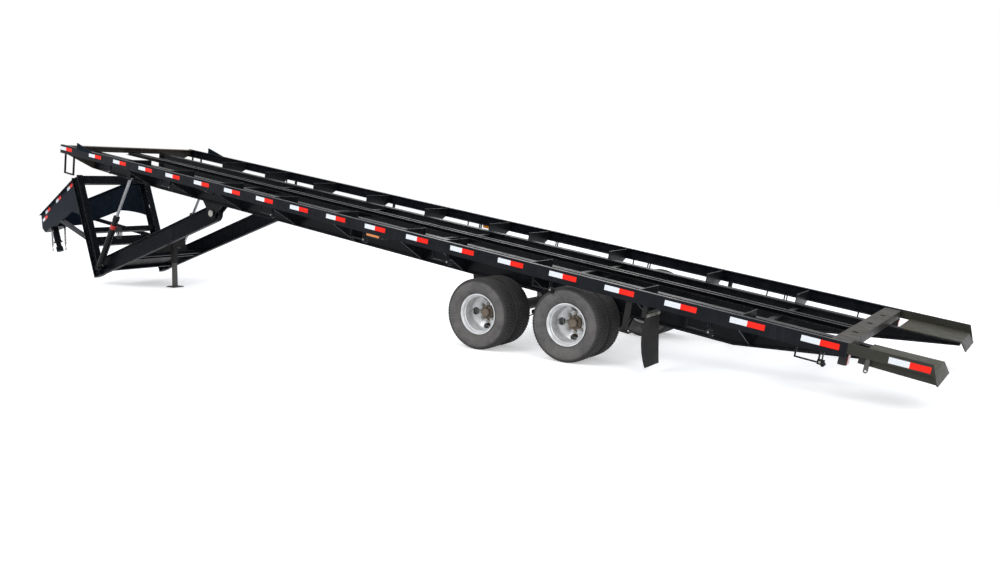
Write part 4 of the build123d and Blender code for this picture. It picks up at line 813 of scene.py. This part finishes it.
@dataclass
class Fitting:
    """What every group of small pieces shares: it makes one dressed piece of its shells."""

    finishes: Finishes

    def piece(self, name: str, shells: list[Shell], body: str, slot: str, finish: str,
              smooth: bool = False) -> bpy.types.Object:
        """Join shells into a piece that rides on a body, and give it its finish.

        Args:
            name: the piece's name.
            shells: pairs of points and faces.
            body: the body that carries it.
            slot: its material slot; not used.
            finish: its finish.
            smooth: whether its faces shade smoothly.

        Returns:
            The new object.
        """
        points, faces = join_shells(shells)
        mesh = bpy.data.meshes.new(name)
        mesh.from_pydata(points.tolist(), [], faces)
        mesh.polygons.foreach_set("use_smooth", np.full(len(faces), smooth))
        mesh.update()
        made = bpy.data.objects.new(name, mesh)
        bpy.context.scene.collection.objects.link(made)
        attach(made, body)
        self.finishes.dress(made, finish)
        LOG.info("%s: %d faces", name, len(faces))
        return made

    def bolts(self, name: str, shells: list[Shell], body: str = "bed", smooth: bool = False) -> None:
        """Make a piece of zinc-plated bolts or other hardware."""
        self.piece(name, shells, body, "zinc_steel", "bolt_zinc", smooth)


@dataclass
class RailTape(Fitting):
    """The row of white and red tape along each side rail."""

    rail_face: float = 1.22
    first_red: float = 0.2286
    second_red: float = 0.988
    last_red: float = 12.03
    pitch: float = 0.6096
    count: int = 18
    level: float = -0.052

    def build(self) -> None:
        """Stick the tapes on: one piece for the white halves and one for the red, on each side."""
        reds = [self.first_red, *(self.second_red + self.pitch * np.arange(self.count)), self.last_red]
        for side_name, side in SIDES.items():
            y = side * (self.rail_face + TAPE_SIZE[1] / 2)
            for colour, shift in (("white", -TAPE_SIZE[0]), ("red", 0.0)):
                tapes = [block(deck_point(red + shift, y, self.level), DECK_AXES, TAPE_SIZE) for red in reds]
                self.piece(f"rail_tape_{colour}_{side_name}", tapes, "bed", "frame_paint", f"tape_{colour}")


@dataclass
class Tyres(Fitting):
    """Dual tyres with a ribbed and siped tread, a shoulder of blocks and rings on the sidewalls."""

    pitch: float = 0.27
    steps: int = 288
    rib_pitch: float = 0.0225
    rib_shift: float = 0.37
    sipe_count: int = 72
    sipe_share: float = 0.26
    sipe_depth: float = 0.008
    groove_floor: float = 0.3715
    groove_reach: float = 0.07
    dark_from: float = 0.338
    dark_over: float = 0.014
    crown_share: float = 0.7
    OUTLINE = (
        (0.0697, 0.203, 0.0), (0.0697, 0.214, 0.0), (0.078, 0.224, 0.0), (0.0905, 0.234, 0.0),
        (0.1015, 0.2475, 0.0), (0.1065, 0.262, 0.0), (0.1085, 0.2635, 0.0), (0.1105, 0.272, 0.0),
        (0.1135, 0.286, 0.0), (0.1155, 0.3, 0.0), (0.1157, 0.312, 0.0), (0.1148, 0.325, 0.0),
        (0.1128, 0.338, 0.0), (0.1115, 0.3395, 0.0), (0.1105, 0.346, 0.25), (0.1075, 0.356, 1.0),
        (0.1035, 0.3655, 1.0), (0.0965, 0.3735, 1.0), (0.0885, 0.3775, 0.9), (0.079, 0.379, 0.5),
        (0.0685, 0.3795, 0.5), (0.0675, 0.3795, 0.5), (0.0665, 0.371, 0.0), (0.0625, 0.371, 0.0),
        (0.0615, 0.3797, 0.4), (0.046, 0.38, 0.4), (0.0275, 0.38, 0.4), (0.0265, 0.371, 0.0),
        (0.0225, 0.371, 0.0), (0.0215, 0.38, 0.4), (0.01, 0.38, 0.4), (0.0, 0.38, 0.4),
    )

    def outline(self) -> np.ndarray:
        """Return the whole outline: place along the axle, radius, and how deep the sipes cut there."""
        half = np.array(self.OUTLINE)
        return np.concatenate([half, half[::-1][1:] * np.array([-1.0, 1.0, 1.0])])

    def sipes(self) -> np.ndarray:
        """Return, for each point of the outline and each step of the turn, how far a sipe cuts it."""
        outline = self.outline()
        t = np.linspace(0, 1, self.steps, endpoint=False)
        phase = np.round(outline[:, 0] / self.rib_pitch) * self.rib_shift
        beat = (t * self.sipe_count + phase[:, None]) % 1.0
        return (beat < self.sipe_share) * outline[:, 2, None]

    def tyre(self, wheel: np.ndarray, centre: float) -> Shell:
        """Return one tyre.

        The outline is turned about the axle. On the tread each point sinks by a depth times a
        square wave of the angle, shifted from rib to rib, which cuts the sipes and the blocks.

        Args:
            wheel: the axle's middle.
            centre: the tyre's middle along the axle.

        Returns:
            Points and faces.
        """
        outline = self.outline()
        t = np.linspace(0, 2 * np.pi, self.steps, endpoint=False)
        r = outline[:, 1, None] - self.sipes() * self.sipe_depth
        x, z = wheel[0] + r * np.cos(t), wheel[2] + r * np.sin(t)
        y = centre + outline[:, 0, None] + np.zeros_like(x)
        faces = grid_faces(len(outline), self.steps, round_rows=True, round_columns=True)
        return np.stack([x, y, z], axis=-1).reshape(-1, 3), faces

    def mark_tread(self, mesh: bpy.types.Mesh, wheel: np.ndarray) -> None:
        """Store how dark each point's rubber is, with painted shade in the sipes and grooves.

        That is a ramp of its radius above dark_from, times crown_share on the blocks' tops and 1
        in the sipes and the grooves, so the hollows are painted darker as shade.

        Args:
            mesh: the pair of tyres.
            wheel: the axle's middle.
        """
        places = np.empty(len(mesh.vertices) * 3)
        mesh.vertices.foreach_get("co", places)
        x, _, z = (places.reshape(-1, 3) - wheel).T
        outline = self.outline()
        grooves = (outline[:, 1] < self.groove_floor) & (np.abs(outline[:, 0]) < self.groove_reach)
        # Sipes and grooves take the full dark share: painted shade in the hollows of the tread.
        low = np.tile(((self.sipes() > 0.0) | grooves[:, None]).ravel(), 2)
        share = np.clip((np.hypot(x, z) - self.dark_from) / self.dark_over, 0.0, 1.0)
        share *= np.where(low, 1.0, self.crown_share)
        mesh.attributes.new("tread_and_groove_shade", "FLOAT", "POINT").data.foreach_set("value", share)

    def build(self) -> None:
        """Make the tyres of each wheel set in place of its plain ones."""
        for axle, wheel in WHEELS.items():
            for side_name, side in SIDES.items():
                key = f"{axle}_{side_name}"
                shells = [self.tyre(wheel, side * (WHEEL_MIDDLE + step * self.pitch / 2)) for step in BOTH]
                pair = self.piece(f"tyre_pair_{key}", shells, f"wheel_{key}", "tyre_rubber", "tyre_rubber",
                                  smooth=True)
                self.mark_tread(pair.data, wheel)
                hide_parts(f"tyres_{key}")


@dataclass
class NeckTape(Fitting):
    """Pairs of red and white tape on the outer faces of the gooseneck's sides."""

    root_run: float = 3.16
    root_y: float = 0.6
    nose_run: float = 5.26
    nose_y: float = 0.08
    plate_half: float = 0.006
    REDS = ((3.42, 1.515), (4.1, 1.515), (4.78, 1.515), (5.02, 1.44))

    def build(self) -> None:
        """Lay each pair along the plate, with the white half nearer the nose."""
        slope = (self.nose_y - self.root_y) / (self.nose_run - self.root_run)
        for side_name, side in SIDES.items():
            along = NECK_FORWARD + ACROSS * side * slope
            along /= np.linalg.norm(along)
            outward = ACROSS * side - along * float(along[1]) * side
            outward /= np.linalg.norm(outward)
            lift = outward * (self.plate_half + TAPE_SIZE[1] / 2)
            for colour, shift in (("red", 0.0), ("white", TAPE_SIZE[0])):
                tapes = []
                for run, level in self.REDS:
                    place = neck_point(run, side * (self.root_y + slope * (run - self.root_run)), level)
                    tapes.append(block(place + along * shift + lift, (along, outward, NECK_UP), TAPE_SIZE))
                self.piece(f"neck_tape_{colour}_{side_name}", tapes, "neck", "frame_paint", f"tape_{colour}")


@dataclass
class LoopFittings(Fitting):
    """A keeper block with its roller and bolt at the rear foot of each tie loop."""

    loop_width: float = 0.205
    loop_y: float = 1.19
    rail_depth: float = 0.127
    loop_drop: float = 0.105
    keeper: Triple = (0.058, 0.044, 0.03)
    keeper_lift: float = 0.014
    keeper_rounding: float = 0.35
    hanger_run: float = 0.02
    hanger_depth: float = 0.008
    hanger_width: float = 0.026
    bolt_size: tuple[float, float] = (0.0075, 0.008)
    roller_radius: float = 0.016
    roller_half: float = 0.026
    SHARES = (0.0926, 0.216, 0.3951, 0.5309, 0.6367, 0.7496, 0.8933, 0.978)

    def build(self) -> None:
        """Set the keepers of both rails."""
        foot = -self.rail_depth - self.loop_drop
        half, radius = self.roller_half, self.roller_radius
        roller = [(-half, 0.6 * radius), (-half, radius), (half, radius), (half, 0.6 * radius)]
        hanger = (self.hanger_depth, self.loop_drop, self.hanger_width)
        for side_name, side in SIDES.items():
            blocks, bolts = [], []
            y = side * self.loop_y
            for share in self.SHARES:
                run = share * TUBE_RUN + self.loop_width
                keeper = deck_point(run + self.keeper_lift, y, foot + self.keeper_lift)
                blocks.append(block(keeper, DECK_SIDE_AXES, self.keeper, self.keeper_rounding))
                blocks.append(turned_solid(deck_point(run + 0.036, y, foot - 0.002), ACROSS, roller, 14))
                middle = deck_point(run + self.hanger_run, y, foot + self.loop_drop / 2)
                blocks.append(block(middle, DECK_SIDE_AXES, hanger))
                face = keeper + DECK_FORWARD * 0.006 + ACROSS * side * self.keeper[2] / 2
                bolts.extend(bolt(face, ACROSS * side, *self.bolt_size))
            self.piece(f"loop_keepers_{side_name}", blocks, "bed", "worn_steel", "frame_black")
            self.bolts(f"loop_bolts_{side_name}", bolts)


@dataclass
class FlapSheets(Fitting):
    """Mudflaps as hanging rubber sheets, bowed at their outer edges, with their bolts."""

    run: float = 9.7403
    top_drop: float = 0.205
    grip_drop: float = 0.245
    inner_y: float = 0.878
    width: float = 0.32
    fall: float = 0.47
    thickness: float = 0.0085
    plate_thickness: float = 0.005
    plate_height: float = 0.03
    bolt_size: tuple[float, float] = (0.009, 0.01)
    BOLT_SHARES = (-0.38, 0.0, 0.38)
    bow: float = 0.034
    curl: float = 0.012
    rows: int = 36
    columns: int = 18

    def sheet(self, side: float) -> Shell:
        """Return one sheet.

        With u from the inner edge to the outer one and v down the free length, a place of the
        middle surface is moved forward by bow * sin(pi v)^0.8 * u^1.6 and backward by a slight
        curl of the foot, curl * v^3. The front and back faces lie half a thickness to each side.

        Args:
            side: 1 for the left flap, -1 for the right one.

        Returns:
            Points and faces of the closed sheet.
        """
        u = np.linspace(0, 1, self.columns)[None, :]
        v = np.linspace(0, 1, self.rows)[:, None]
        head = deck_point(self.run + self.thickness / 2, 0, -self.grip_drop)
        x = head[0] + self.bow * np.sin(np.pi * v) ** 0.8 * u**1.6 - self.curl * v**3
        y = side * (self.inner_y + self.width * u) + 0 * v
        z = head[2] - self.fall * v + 0 * u
        sheets = [np.stack([x + turn * self.thickness / 2, y, z], axis=-1).reshape(-1, 3) for turn in BOTH]
        quads = grid_faces(self.rows, self.columns)
        count = self.rows * self.columns
        index = np.arange(count).reshape(self.rows, self.columns)
        rim = np.concatenate([index[0, :-1], index[:-1, -1], index[-1, :0:-1], index[:0:-1, 0]])
        following = np.roll(rim, -1)
        walls = np.stack([rim, following, following + count, rim + count], axis=1)
        faces = [*quads[:, ::-1].tolist(), *(quads + count).tolist(), *walls.tolist()]
        return face_outwards(np.concatenate(sheets), faces)

    def build(self) -> None:
        """Hang both sheets in place of the plain flaps and bolt them to their bars."""
        grip_size = (self.thickness, self.width, self.grip_drop - self.top_drop + 0.004)
        plate_size = (self.plate_thickness, self.width - 0.01, self.plate_height)
        for side_name, side in SIDES.items():
            strip = deck_point(self.run + self.thickness / 2, side * (self.inner_y + self.width / 2),
                               -(self.top_drop + self.grip_drop) / 2)
            shells = [self.sheet(side), block(strip, DECK_AXES, grip_size)]
            sheet = self.piece(f"flap_sheet_{side_name}", shells, "bed", "flap_rubber", "flap_rubber")
            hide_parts(f"mudflap_{side_name}")
            plate = strip - DECK_FORWARD * (self.thickness + self.plate_thickness) / 2
            bolts = [block(plate, DECK_AXES, plate_size)]
            face = plate - DECK_FORWARD * self.plate_thickness / 2
            for share in self.BOLT_SHARES:
                place = face + ACROSS * side * self.width * share
                bolts.extend(bolt(place, -DECK_FORWARD, *self.bolt_size))
            self.bolts(f"flap_bolts_{side_name}", bolts)


@dataclass
class PinHeads(Fitting):
    """Heads on the spring hangers' pins and keepers on the hinge pins."""

    hanger_half: float = 0.042
    eye_height: float = -0.531
    hanger_runs: Triple = (7.5105, 8.40975, 9.309)
    pin_run: float = 2.96
    pin_drop: float = 0.535
    lug_half: float = 0.081
    head_size: tuple[float, float] = (0.017, 0.016)
    bolt_size: tuple[float, float] = (0.0065, 0.006)
    bolt_pitch: float = 0.03
    bolt_lift: float = 0.007
    ANGLES = (0.0, 2.0944, 4.1888)
    KEEPER = ((-0.002, 0.046), (0.006, 0.046), (0.008, 0.043))

    def build(self) -> None:
        """Make the heads and keepers on both beams."""
        shells = []
        for side in SIDES.values():
            for run in self.hanger_runs:
                for flank in BOTH:
                    y = side * BEAM_Y + flank * self.hanger_half
                    shells.extend(bolt(deck_point(run, y, self.eye_height), ACROSS * flank, *self.head_size))
            for flank in BOTH:
                pin = deck_point(self.pin_run, side * BEAM_Y + flank * self.lug_half, -self.pin_drop)
                shells.append(turned_solid(pin, ACROSS * flank, self.KEEPER, 26))
                for angle in self.ANGLES:
                    turn = DECK_FORWARD * math.cos(angle) + DECK_UP * math.sin(angle)
                    spot = pin + ACROSS * flank * self.bolt_lift + turn * self.bolt_pitch
                    shells.extend(bolt(spot, ACROSS * flank, *self.bolt_size))
        self.bolts("bed_pin_heads", shells)


@dataclass
class Lamps(Fitting):
    """Bezels and screws round the tail lenses and the side markers, with their leads."""

    lamp_run: float = 11.494
    lamp_y: float = 1.125
    lamp_height: float = -0.146
    lens_half: tuple[float, float] = (0.04, 0.051)
    marker_run: float = 6.3701
    marker_y: float = 1.209
    marker_height: float = -0.142
    marker_half: tuple[float, float] = (0.099, 0.019)
    marker_top: float = 0.8
    bezel_radii: tuple[float, float] = (0.0045, 0.005)
    screw_size: tuple[float, float] = (0.004, 0.003)
    lead_radius: float = 0.006
    plug_place: Triple = (0.15, 1.194, -0.15)
    LEAD = ((0.099, 1.2, -0.142), (0.14, 1.196, -0.15), (0.19, 1.186, -0.146), (0.21, 1.18, -0.128))
    PLUG = ((-0.02, 0.008), (-0.02, 0.012), (0.02, 0.012), (0.02, 0.008))

    @staticmethod
    def bezel(centre: np.ndarray, along: np.ndarray, half: tuple[float, float], top: float,
              radius: float, normal: np.ndarray) -> list[Shell]:
        """Return four rods round a lens.

        Args:
            centre: the lens's middle.
            along: its lengthwise direction.
            half: half its length and half its height, with the rods.
            top: the share of its half height at which the upper rod lies.
            radius: the rods' radius.
            normal: the direction square to the lens.

        Returns:
            The rods' shells.
        """
        corners = ((-1, -1), (1, -1), (1, top), (-1, top))
        marks = [centre + along * a * half[0] + DECK_UP * b * half[1] for a, b in corners]
        pairs = zip(marks, marks[1:] + marks[:1])
        return [capped_tube([a, (a + b) / 2, b], radius, 8, normal) for a, b in pairs]

    def build(self) -> None:
        """Make the bezels, screws and leads."""
        dark, bright = [], []
        for side in SIDES.values():
            lens = deck_point(self.lamp_run, side * self.lamp_y, self.lamp_height)
            dark.extend(self.bezel(lens, ACROSS, self.lens_half, 1, self.bezel_radii[0], DECK_FORWARD))
            for end in BOTH:
                spot = lens + DECK_UP * end * self.lens_half[1] - DECK_FORWARD * 0.004
                bright.extend(bolt(spot, -DECK_FORWARD, *self.screw_size))
            marker = deck_point(self.marker_run, side * self.marker_y, self.marker_height)
            dark.extend(self.bezel(marker, DECK_FORWARD, self.marker_half, self.marker_top,
                                   self.bezel_radii[1], ACROSS))
            *route, plug = [deck_point(self.marker_run + run, side * y, height)
                            for run, y, height in (*self.LEAD, self.plug_place)]
            dark.append(capped_tube(smooth_path(route), self.lead_radius, 8, ACROSS))
            dark.append(turned_solid(plug, DECK_FORWARD, self.PLUG, 12))
        self.piece("lamp_bezels", dark, "bed", "lamp_housing", "lamp_black", smooth=True)
        self.bolts("lamp_screws", bright)


@dataclass
class Lines(Fitting):
    """Hydraulic lines clipped along the left beam, fittings on the barrels and the coiled hose."""

    beam_web: float = 0.6245
    line_radius: float = 0.008
    base_run: float = 2.9
    base_drop: float = 0.02
    top_run: float = 1.1
    top_drop: float = 0.33
    barrel_radius: float = 0.044
    pipe_gap: float = 0.034
    pipe_radius: float = 0.006
    hose_radius: float = 0.0075
    clip_size: Triple = (0.03, 0.07, 0.024)
    band_reach: float = 0.8
    coil_reach: float = 0.86
    coil_gap: float = 0.11
    coil_turns: float = 2.75
    coil_points: int = 110
    coil_swing: float = 0.042
    coil_fall: float = 0.055
    coil_sway: float = 0.05
    coil_step: float = 0.012
    coil_start: float = 0.02
    CLIP_RUNS = (1.3, 1.8, 2.3, 2.75)
    RING_REACHES = (0.06, 0.915)
    PORT_REACHES = (0.1, 0.9)
    PIPE_REACHES = (0.9, 0.88, 0.5, 0.12, 0.1)
    RING = ((-0.006, 0.0405), (-0.006, 0.0455), (-0.003, 0.0465),
            (0.003, 0.0465), (0.006, 0.0455), (0.006, 0.0405))
    PORT = ((0.0, 0.015), (0.02, 0.015), (0.022, 0.012), (0.034, 0.012), (0.036, 0.014), (0.05, 0.014))
    BAND = ((-0.035, 0.0448), (-0.034, 0.0455), (0.034, 0.0455), (0.035, 0.0448))

    def clip_lines(self) -> None:
        """Make the two lines on the left beam's outer web and their clips."""
        y = self.beam_web + 0.012
        lines, clips = [], []
        for start, height in ((1.0, -0.2), (1.1, -0.222)):
            marks = ((start, height), (1.9, height), (2.9, height - 0.05))
            route = smooth_path([deck_point(run, y, level) for run, level in marks], 24)
            lines.append(capped_tube(route, self.line_radius, 10, ACROSS))
        for run in self.CLIP_RUNS:
            centre = deck_point(run, self.beam_web + 0.011, -0.211 - 0.03 * max(0.0, run - 1.9))
            clips.append(block(centre, DECK_SIDE_AXES, self.clip_size, 0.3))
        self.piece("beam_lines", lines, "bed", "lamp_housing", "hose_rubber", smooth=True)
        self.piece("beam_line_clips", clips, "bed", "zinc_steel", "worn_steel")

    def coil(self, start: np.ndarray, along: np.ndarray, square: np.ndarray) -> Shell:
        """Return the tied bundle of hose: loops of a tilted ring that step outward turn by turn.

        Args:
            start: the place at the barrel where the bundle hangs.
            along: the barrel's direction.
            square: the direction from the barrel to its upper side.

        Returns:
            Points and faces.
        """
        turn = np.linspace(0, 2 * np.pi * self.coil_turns, self.coil_points)[:, None]
        swing = (square * self.coil_swing + UP * self.coil_fall) * (np.cos(turn) - 1)
        sway = along * self.coil_sway * np.sin(turn)
        step = ACROSS * (self.coil_step * turn / np.pi - self.coil_start)
        return capped_tube(start + swing + sway + step, self.hose_radius, 8, ACROSS)

    def build(self) -> None:
        """Make the lines, and each barrel's rings, ports and hard line; the left one has a coil."""
        self.clip_lines()
        base = neck_point(self.base_run, 0, -self.base_drop)
        along = deck_point(self.top_run, 0, -self.top_drop) - base
        along /= np.linalg.norm(along)
        square = np.cross(ACROSS, along)
        for side_name, side in SIDES.items():
            body = f"cylinder_{side_name}"
            middle = base + ACROSS * side * CYLINDER_Y
            foot = middle - square * (self.barrel_radius - 0.004)
            pipe = middle - square * (self.barrel_radius + self.pipe_gap)
            rings = [turned_solid(middle + along * reach, along, self.RING, 40) for reach in self.RING_REACHES]
            ports = [turned_solid(foot + along * reach, -square, self.PORT, 12) for reach in self.PORT_REACHES]
            route = smooth_path([pipe + along * reach for reach in self.PIPE_REACHES], 10)
            rings.append(capped_tube(route, self.pipe_radius, 8, ACROSS))
            if side > 0:
                start = middle + along * self.coil_reach - square * self.coil_gap
                ports.append(self.coil(start, along, square))
                band = turned_solid(middle + along * self.band_reach, along, self.BAND, 40)
                self.piece("barrel_band", [band], body, "cylinder_paint", "band_red", smooth=True)
            self.piece(f"barrel_rings_{side_name}", rings, body, "cylinder_paint", "cylinder_black",
                       smooth=True)
            self.piece(f"barrel_ports_{side_name}", ports, body, "zinc_steel", "hose_rubber", smooth=True)


@dataclass
class NeckFittings(Fitting):
    """Louvres, latches, screws and a handle on the power unit, the jack's crank, and chain hooks."""

    unit_rear: float = 2.05
    unit_length: float = 0.83
    unit_half: float = 0.39
    unit_top: float = 0.19
    louvre_count: int = 7
    louvre_start: float = 0.2
    louvre_pitch: float = 0.035
    louvre_size: Triple = (0.014, 0.006, 0.11)
    latch_size: Triple = (0.05, 0.008, 0.036)
    screw_size: tuple[float, float] = (0.007, 0.006)
    jack_run: float = 1.87
    jack_height: float = 0.285
    crank_length: float = 0.17
    crank_drop: float = 0.17
    grip_length: float = 0.11
    chain_run: float = 4.96
    chain_y: float = 0.1243
    chain_drop: float = 0.3
    ear_level: float = 1.187
    hook_size: float = 0.026
    foot_bolt: tuple[float, float] = (0.008, 0.007)
    LATCH_RUNS = (0.62, 0.74)
    SCREW_SHARES = (0.2, 0.5, 0.8)
    HANDLE = ((0.34, 0.188), (0.34, 0.215), (0.36, 0.226), (0.47, 0.226), (0.49, 0.215), (0.49, 0.188))
    ARM = ((-0.012, 0.0), (0.0, 0.04), (0.006, 0.2), (0.006, 0.9), (0.018, 1.0))
    GRIP = ((0, 0.012), (0.004, 0.0155), (0.082, 0.0155), (0.086, 0.012))
    PIN = ((0, 0.009), (0.05, 0.009), (0.052, 0.014), (0.06, 0.014))
    HOOK = ((0, 0.012), (0.35, -0.2), (0.0, -0.9), (-0.75, -1.6),
            (-0.6, -2.5), (0.1, -2.9), (0.8, -2.4), (0.85, -1.7))

    def unit(self) -> tuple[list, list]:
        """Return the unit's dark louvres and handle, and its bright latches and screws."""
        dark, bright = [], []
        for side in SIDES.values():
            for index in range(self.louvre_count):
                run = self.unit_rear + self.louvre_start + self.louvre_pitch * index
                louvre = neck_point(run, side * (self.unit_half + 0.002), 0.04)
                dark.append(block(louvre, NECK_AXES, self.louvre_size, 0.6))
            for run in self.LATCH_RUNS:
                latch = neck_point(self.unit_rear + run, side * (self.unit_half + 0.016), self.unit_top - 0.04)
                bright.append(block(latch, NECK_AXES, self.latch_size, 0.3))
        for share in self.SCREW_SHARES:
            for y in (-0.35, 0.35):
                place = neck_point(self.unit_rear + share * self.unit_length, y, self.unit_top)
                bright.extend(bolt(place, NECK_UP, *self.screw_size))
        handle = [neck_point(self.unit_rear + run, 0, level) for run, level in self.HANDLE]
        dark.append(capped_tube(smooth_path(handle), 0.007, 10, ACROSS))
        return dark, bright

    def jack(self) -> list[Shell]:
        """Return the jack's crank arm, its grip, the pull pin and the bolts of its foot."""
        shaft = neck_point(self.jack_run, 0, 0) + UP * self.jack_height
        end = shaft + ACROSS * self.crank_length
        arm = [end + ACROSS * out - UP * share * self.crank_drop for out, share in self.ARM]
        grip = end + ACROSS * 0.038 - UP * self.crank_drop
        arm.append(end + ACROSS * (0.018 + self.grip_length) - UP * self.crank_drop)
        shells = [capped_tube(smooth_path(arm), 0.009, 12, AHEAD), turned_solid(grip, ACROSS, self.GRIP, 16)]
        for a in (-0.07, 0.07):
            for b in (-0.07, 0.07):
                shells.extend(bolt(np.array([shaft[0] + a, b, 0.014]), UP, *self.foot_bolt))
        pin = np.array([shaft[0] - 0.045, -0.02, shaft[2] - 0.3])
        return [*shells, turned_solid(pin, -AHEAD, self.PIN, 14)]

    def hooks(self) -> list[Shell]:
        """Return the open hook at each chain's end."""
        shells = []
        for side in SIDES.values():
            top = neck_point(self.chain_run, side * self.chain_y, self.ear_level) - UP * self.chain_drop
            route = smooth_path([top + (AHEAD * a + UP * b) * self.hook_size for a, b in self.HOOK], 7)
            radius = np.interp(np.linspace(0, 1, len(route)), (0, 0.15, 0.6, 1), (0.005, 0.007, 0.009, 0.004))
            shells.append(capped_tube(route, radius, 10, ACROSS))
        return shells

    def build(self) -> None:
        """Make the neck's fittings."""
        dark, bright = self.unit()
        self.piece("unit_louvres", dark, "neck", "unit_paint", "chassis_black")
        self.bolts("unit_latches", bright, "neck")
        self.piece("jack_fittings", self.jack(), "neck", "worn_steel", "worn_steel")
        self.piece("chain_hooks", self.hooks(), "neck", "zinc_steel", "chain_zinc", smooth=True)


@dataclass
class WheelFittings(Fitting):
    """Wheel nuts on their studs, and valve stems on the rims."""

    disc: float = 0.009
    stud_pitch: float = 0.095
    stud_count: int = 8
    STUD = ((0.0, 0.0075), (0.032, 0.0075), (0.034, 0.005625))
    NUT = ((0.0005, 0.0195), (0.003, 0.0195), (0.0035, 0.0172),
           (0.0195, 0.0168), (0.0235, 0.0135), (0.0245, 0.009))
    VALVE = ((0.052, 0.171), (0.072, 0.169), (0.102, 0.159))

    def build(self) -> None:
        """Make the nuts, the studs and the valve of each wheel set."""
        angles = 2 * math.pi * np.arange(self.stud_count) / self.stud_count
        for axle, wheel in WHEELS.items():
            for side_name, side in SIDES.items():
                shells = []
                outward = ACROSS * side
                middle = wheel + outward * WHEEL_MIDDLE
                for angle in angles:
                    turn = AHEAD * math.cos(angle) + UP * math.sin(angle)
                    spot = middle + outward * self.disc + turn * self.stud_pitch
                    shells.append(turned_solid(spot, outward, self.STUD, 10))
                    shells.append(turned_solid(spot, outward, self.NUT, 18))
                route = [middle + outward * out + AHEAD * a + UP * 0.012 for out, a in self.VALVE]
                shells.append(capped_tube(smooth_path(route), 0.0042, 8, UP))
                key = f"{axle}_{side_name}"
                self.piece(f"wheel_studs_{key}", shells, f"wheel_{key}", "hub_bronze", "bolt_zinc")


@dataclass
class WeldBeads(Fitting):
    """Beads where the main pieces of the bed and of the neck meet."""

    beam_web: float = 0.0045
    beam_flange: float = 0.051
    rail_in: float = 1.211
    deck_y: float = 1.221
    BRACKETS = (0.1323, 0.2205, 0.313, 0.4056, 0.4982, 0.5908, 0.6437, 0.7412, 0.8466, 0.932)
    MEMBERS = (0.2822, 0.4409, 0.5952, 0.7584, 0.9347)
    RAIL_BEAD = (-0.012, -0.115)
    CAP_BEAD = (-0.1, -0.092)
    WEB_BEAD = (-0.106, -0.3)
    MEMBER_BEAD = (-0.13, -0.228)
    TUBE_BEAD = (-0.012, -0.086)
    CROSSBAR_BEADS = ((1.43, 1.56), (0.6, 0.68), (0.38, 0.52))

    def bed(self) -> list[Shell]:
        """Return the bed's beads: brackets to rails and beams, members to beams, tube to rails."""
        ends = []

        def upright(run: float, y: float, top: float, foot: float) -> None:
            """Note a bead that runs down from top to foot."""
            ends.append(((run, y, top), (run, y, foot)))

        for side in SIDES.values():
            rail, outer = side * self.rail_in, side * (BEAM_Y + self.beam_web)
            for start in np.array(self.BRACKETS) * TUBE_RUN:
                for run in (start, start + 0.01):
                    upright(run, rail, *self.RAIL_BEAD)
                    upright(run, side * (BEAM_Y + self.beam_flange), *self.CAP_BEAD)
                    upright(run, outer, *self.WEB_BEAD)
            for start in np.array(self.MEMBERS) * TUBE_RUN:
                for run in (start, start + 0.05):
                    upright(run, side * (BEAM_Y - self.beam_web), *self.MEMBER_BEAD)
            for run in (TUBE_RUN, TUBE_RUN + 0.15):
                upright(run, rail, *self.TUBE_BEAD)
                ends.append(tuple((run, side * (BEAM_Y + flank * self.beam_flange), -0.09) for flank in BOTH))
            for run in (0.47, 0.83):
                ends.append(tuple((place, side * self.deck_y, -0.022) for place in (run, run + 0.03)))
            for flank in (-0.041, 0.041):
                ends.append(tuple((run, side * BEAM_Y + flank, -0.396) for run in (2.75, 3.16)))
        return [weld_bead(deck_point(*start), deck_point(*end)) for start, end in ends]

    def neck(self) -> list[Shell]:
        """Return the neck's beads: arms to posts, crossbars to posts, sides and braces to posts."""
        ends = []
        for side in SIDES.values():
            for flank in (-0.035, 0.035):
                y = side * BEAM_Y + flank
                for level in (-0.125, 0.125):
                    ends.append(((2.988, y - 0.006, level), (2.988, y + 0.006, level)))
            for level in (0.126, -0.126):
                ends.append(tuple((2.989, side * y, level) for y in (0.585, 0.655)))
            for levels in self.CROSSBAR_BEADS:
                for run in (3.03, 3.12):
                    ends.append(tuple((run, side * (BEAM_Y - self.beam_web), level) for level in levels))
            for flank in (-0.008, 0.008):
                ends.append(tuple((3.162, side * 0.6 + flank, level) for level in (0.9, 1.54)))
        return [weld_bead(neck_point(*start), neck_point(*end)) for start, end in ends]

    def build(self) -> None:
        """Lay all the beads."""
        self.piece("bed_weld_beads", self.bed(), "bed", "frame_paint", "frame_black", smooth=True)
        self.piece("neck_weld_beads", self.neck(), "neck", "frame_paint", "neck_black", smooth=True)


def main() -> None:
    """Load the frame, dress it, add the fittings, and set the studio."""
    logging.basicConfig(level=logging.INFO, format="%(name)s: %(message)s")
    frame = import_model()
    finishes = Finishes(Effects())
    finishes.build()
    Studio().build()
    Frame(frame["nodes"], finishes).dress()
    for fitting in (RailTape, Tyres, NeckTape, LoopFittings, FlapSheets, PinHeads, Lamps, Lines,
                    NeckFittings, WheelFittings, WeldBeads):
        fitting(finishes).build()


if __name__ == "__main__":
    main()
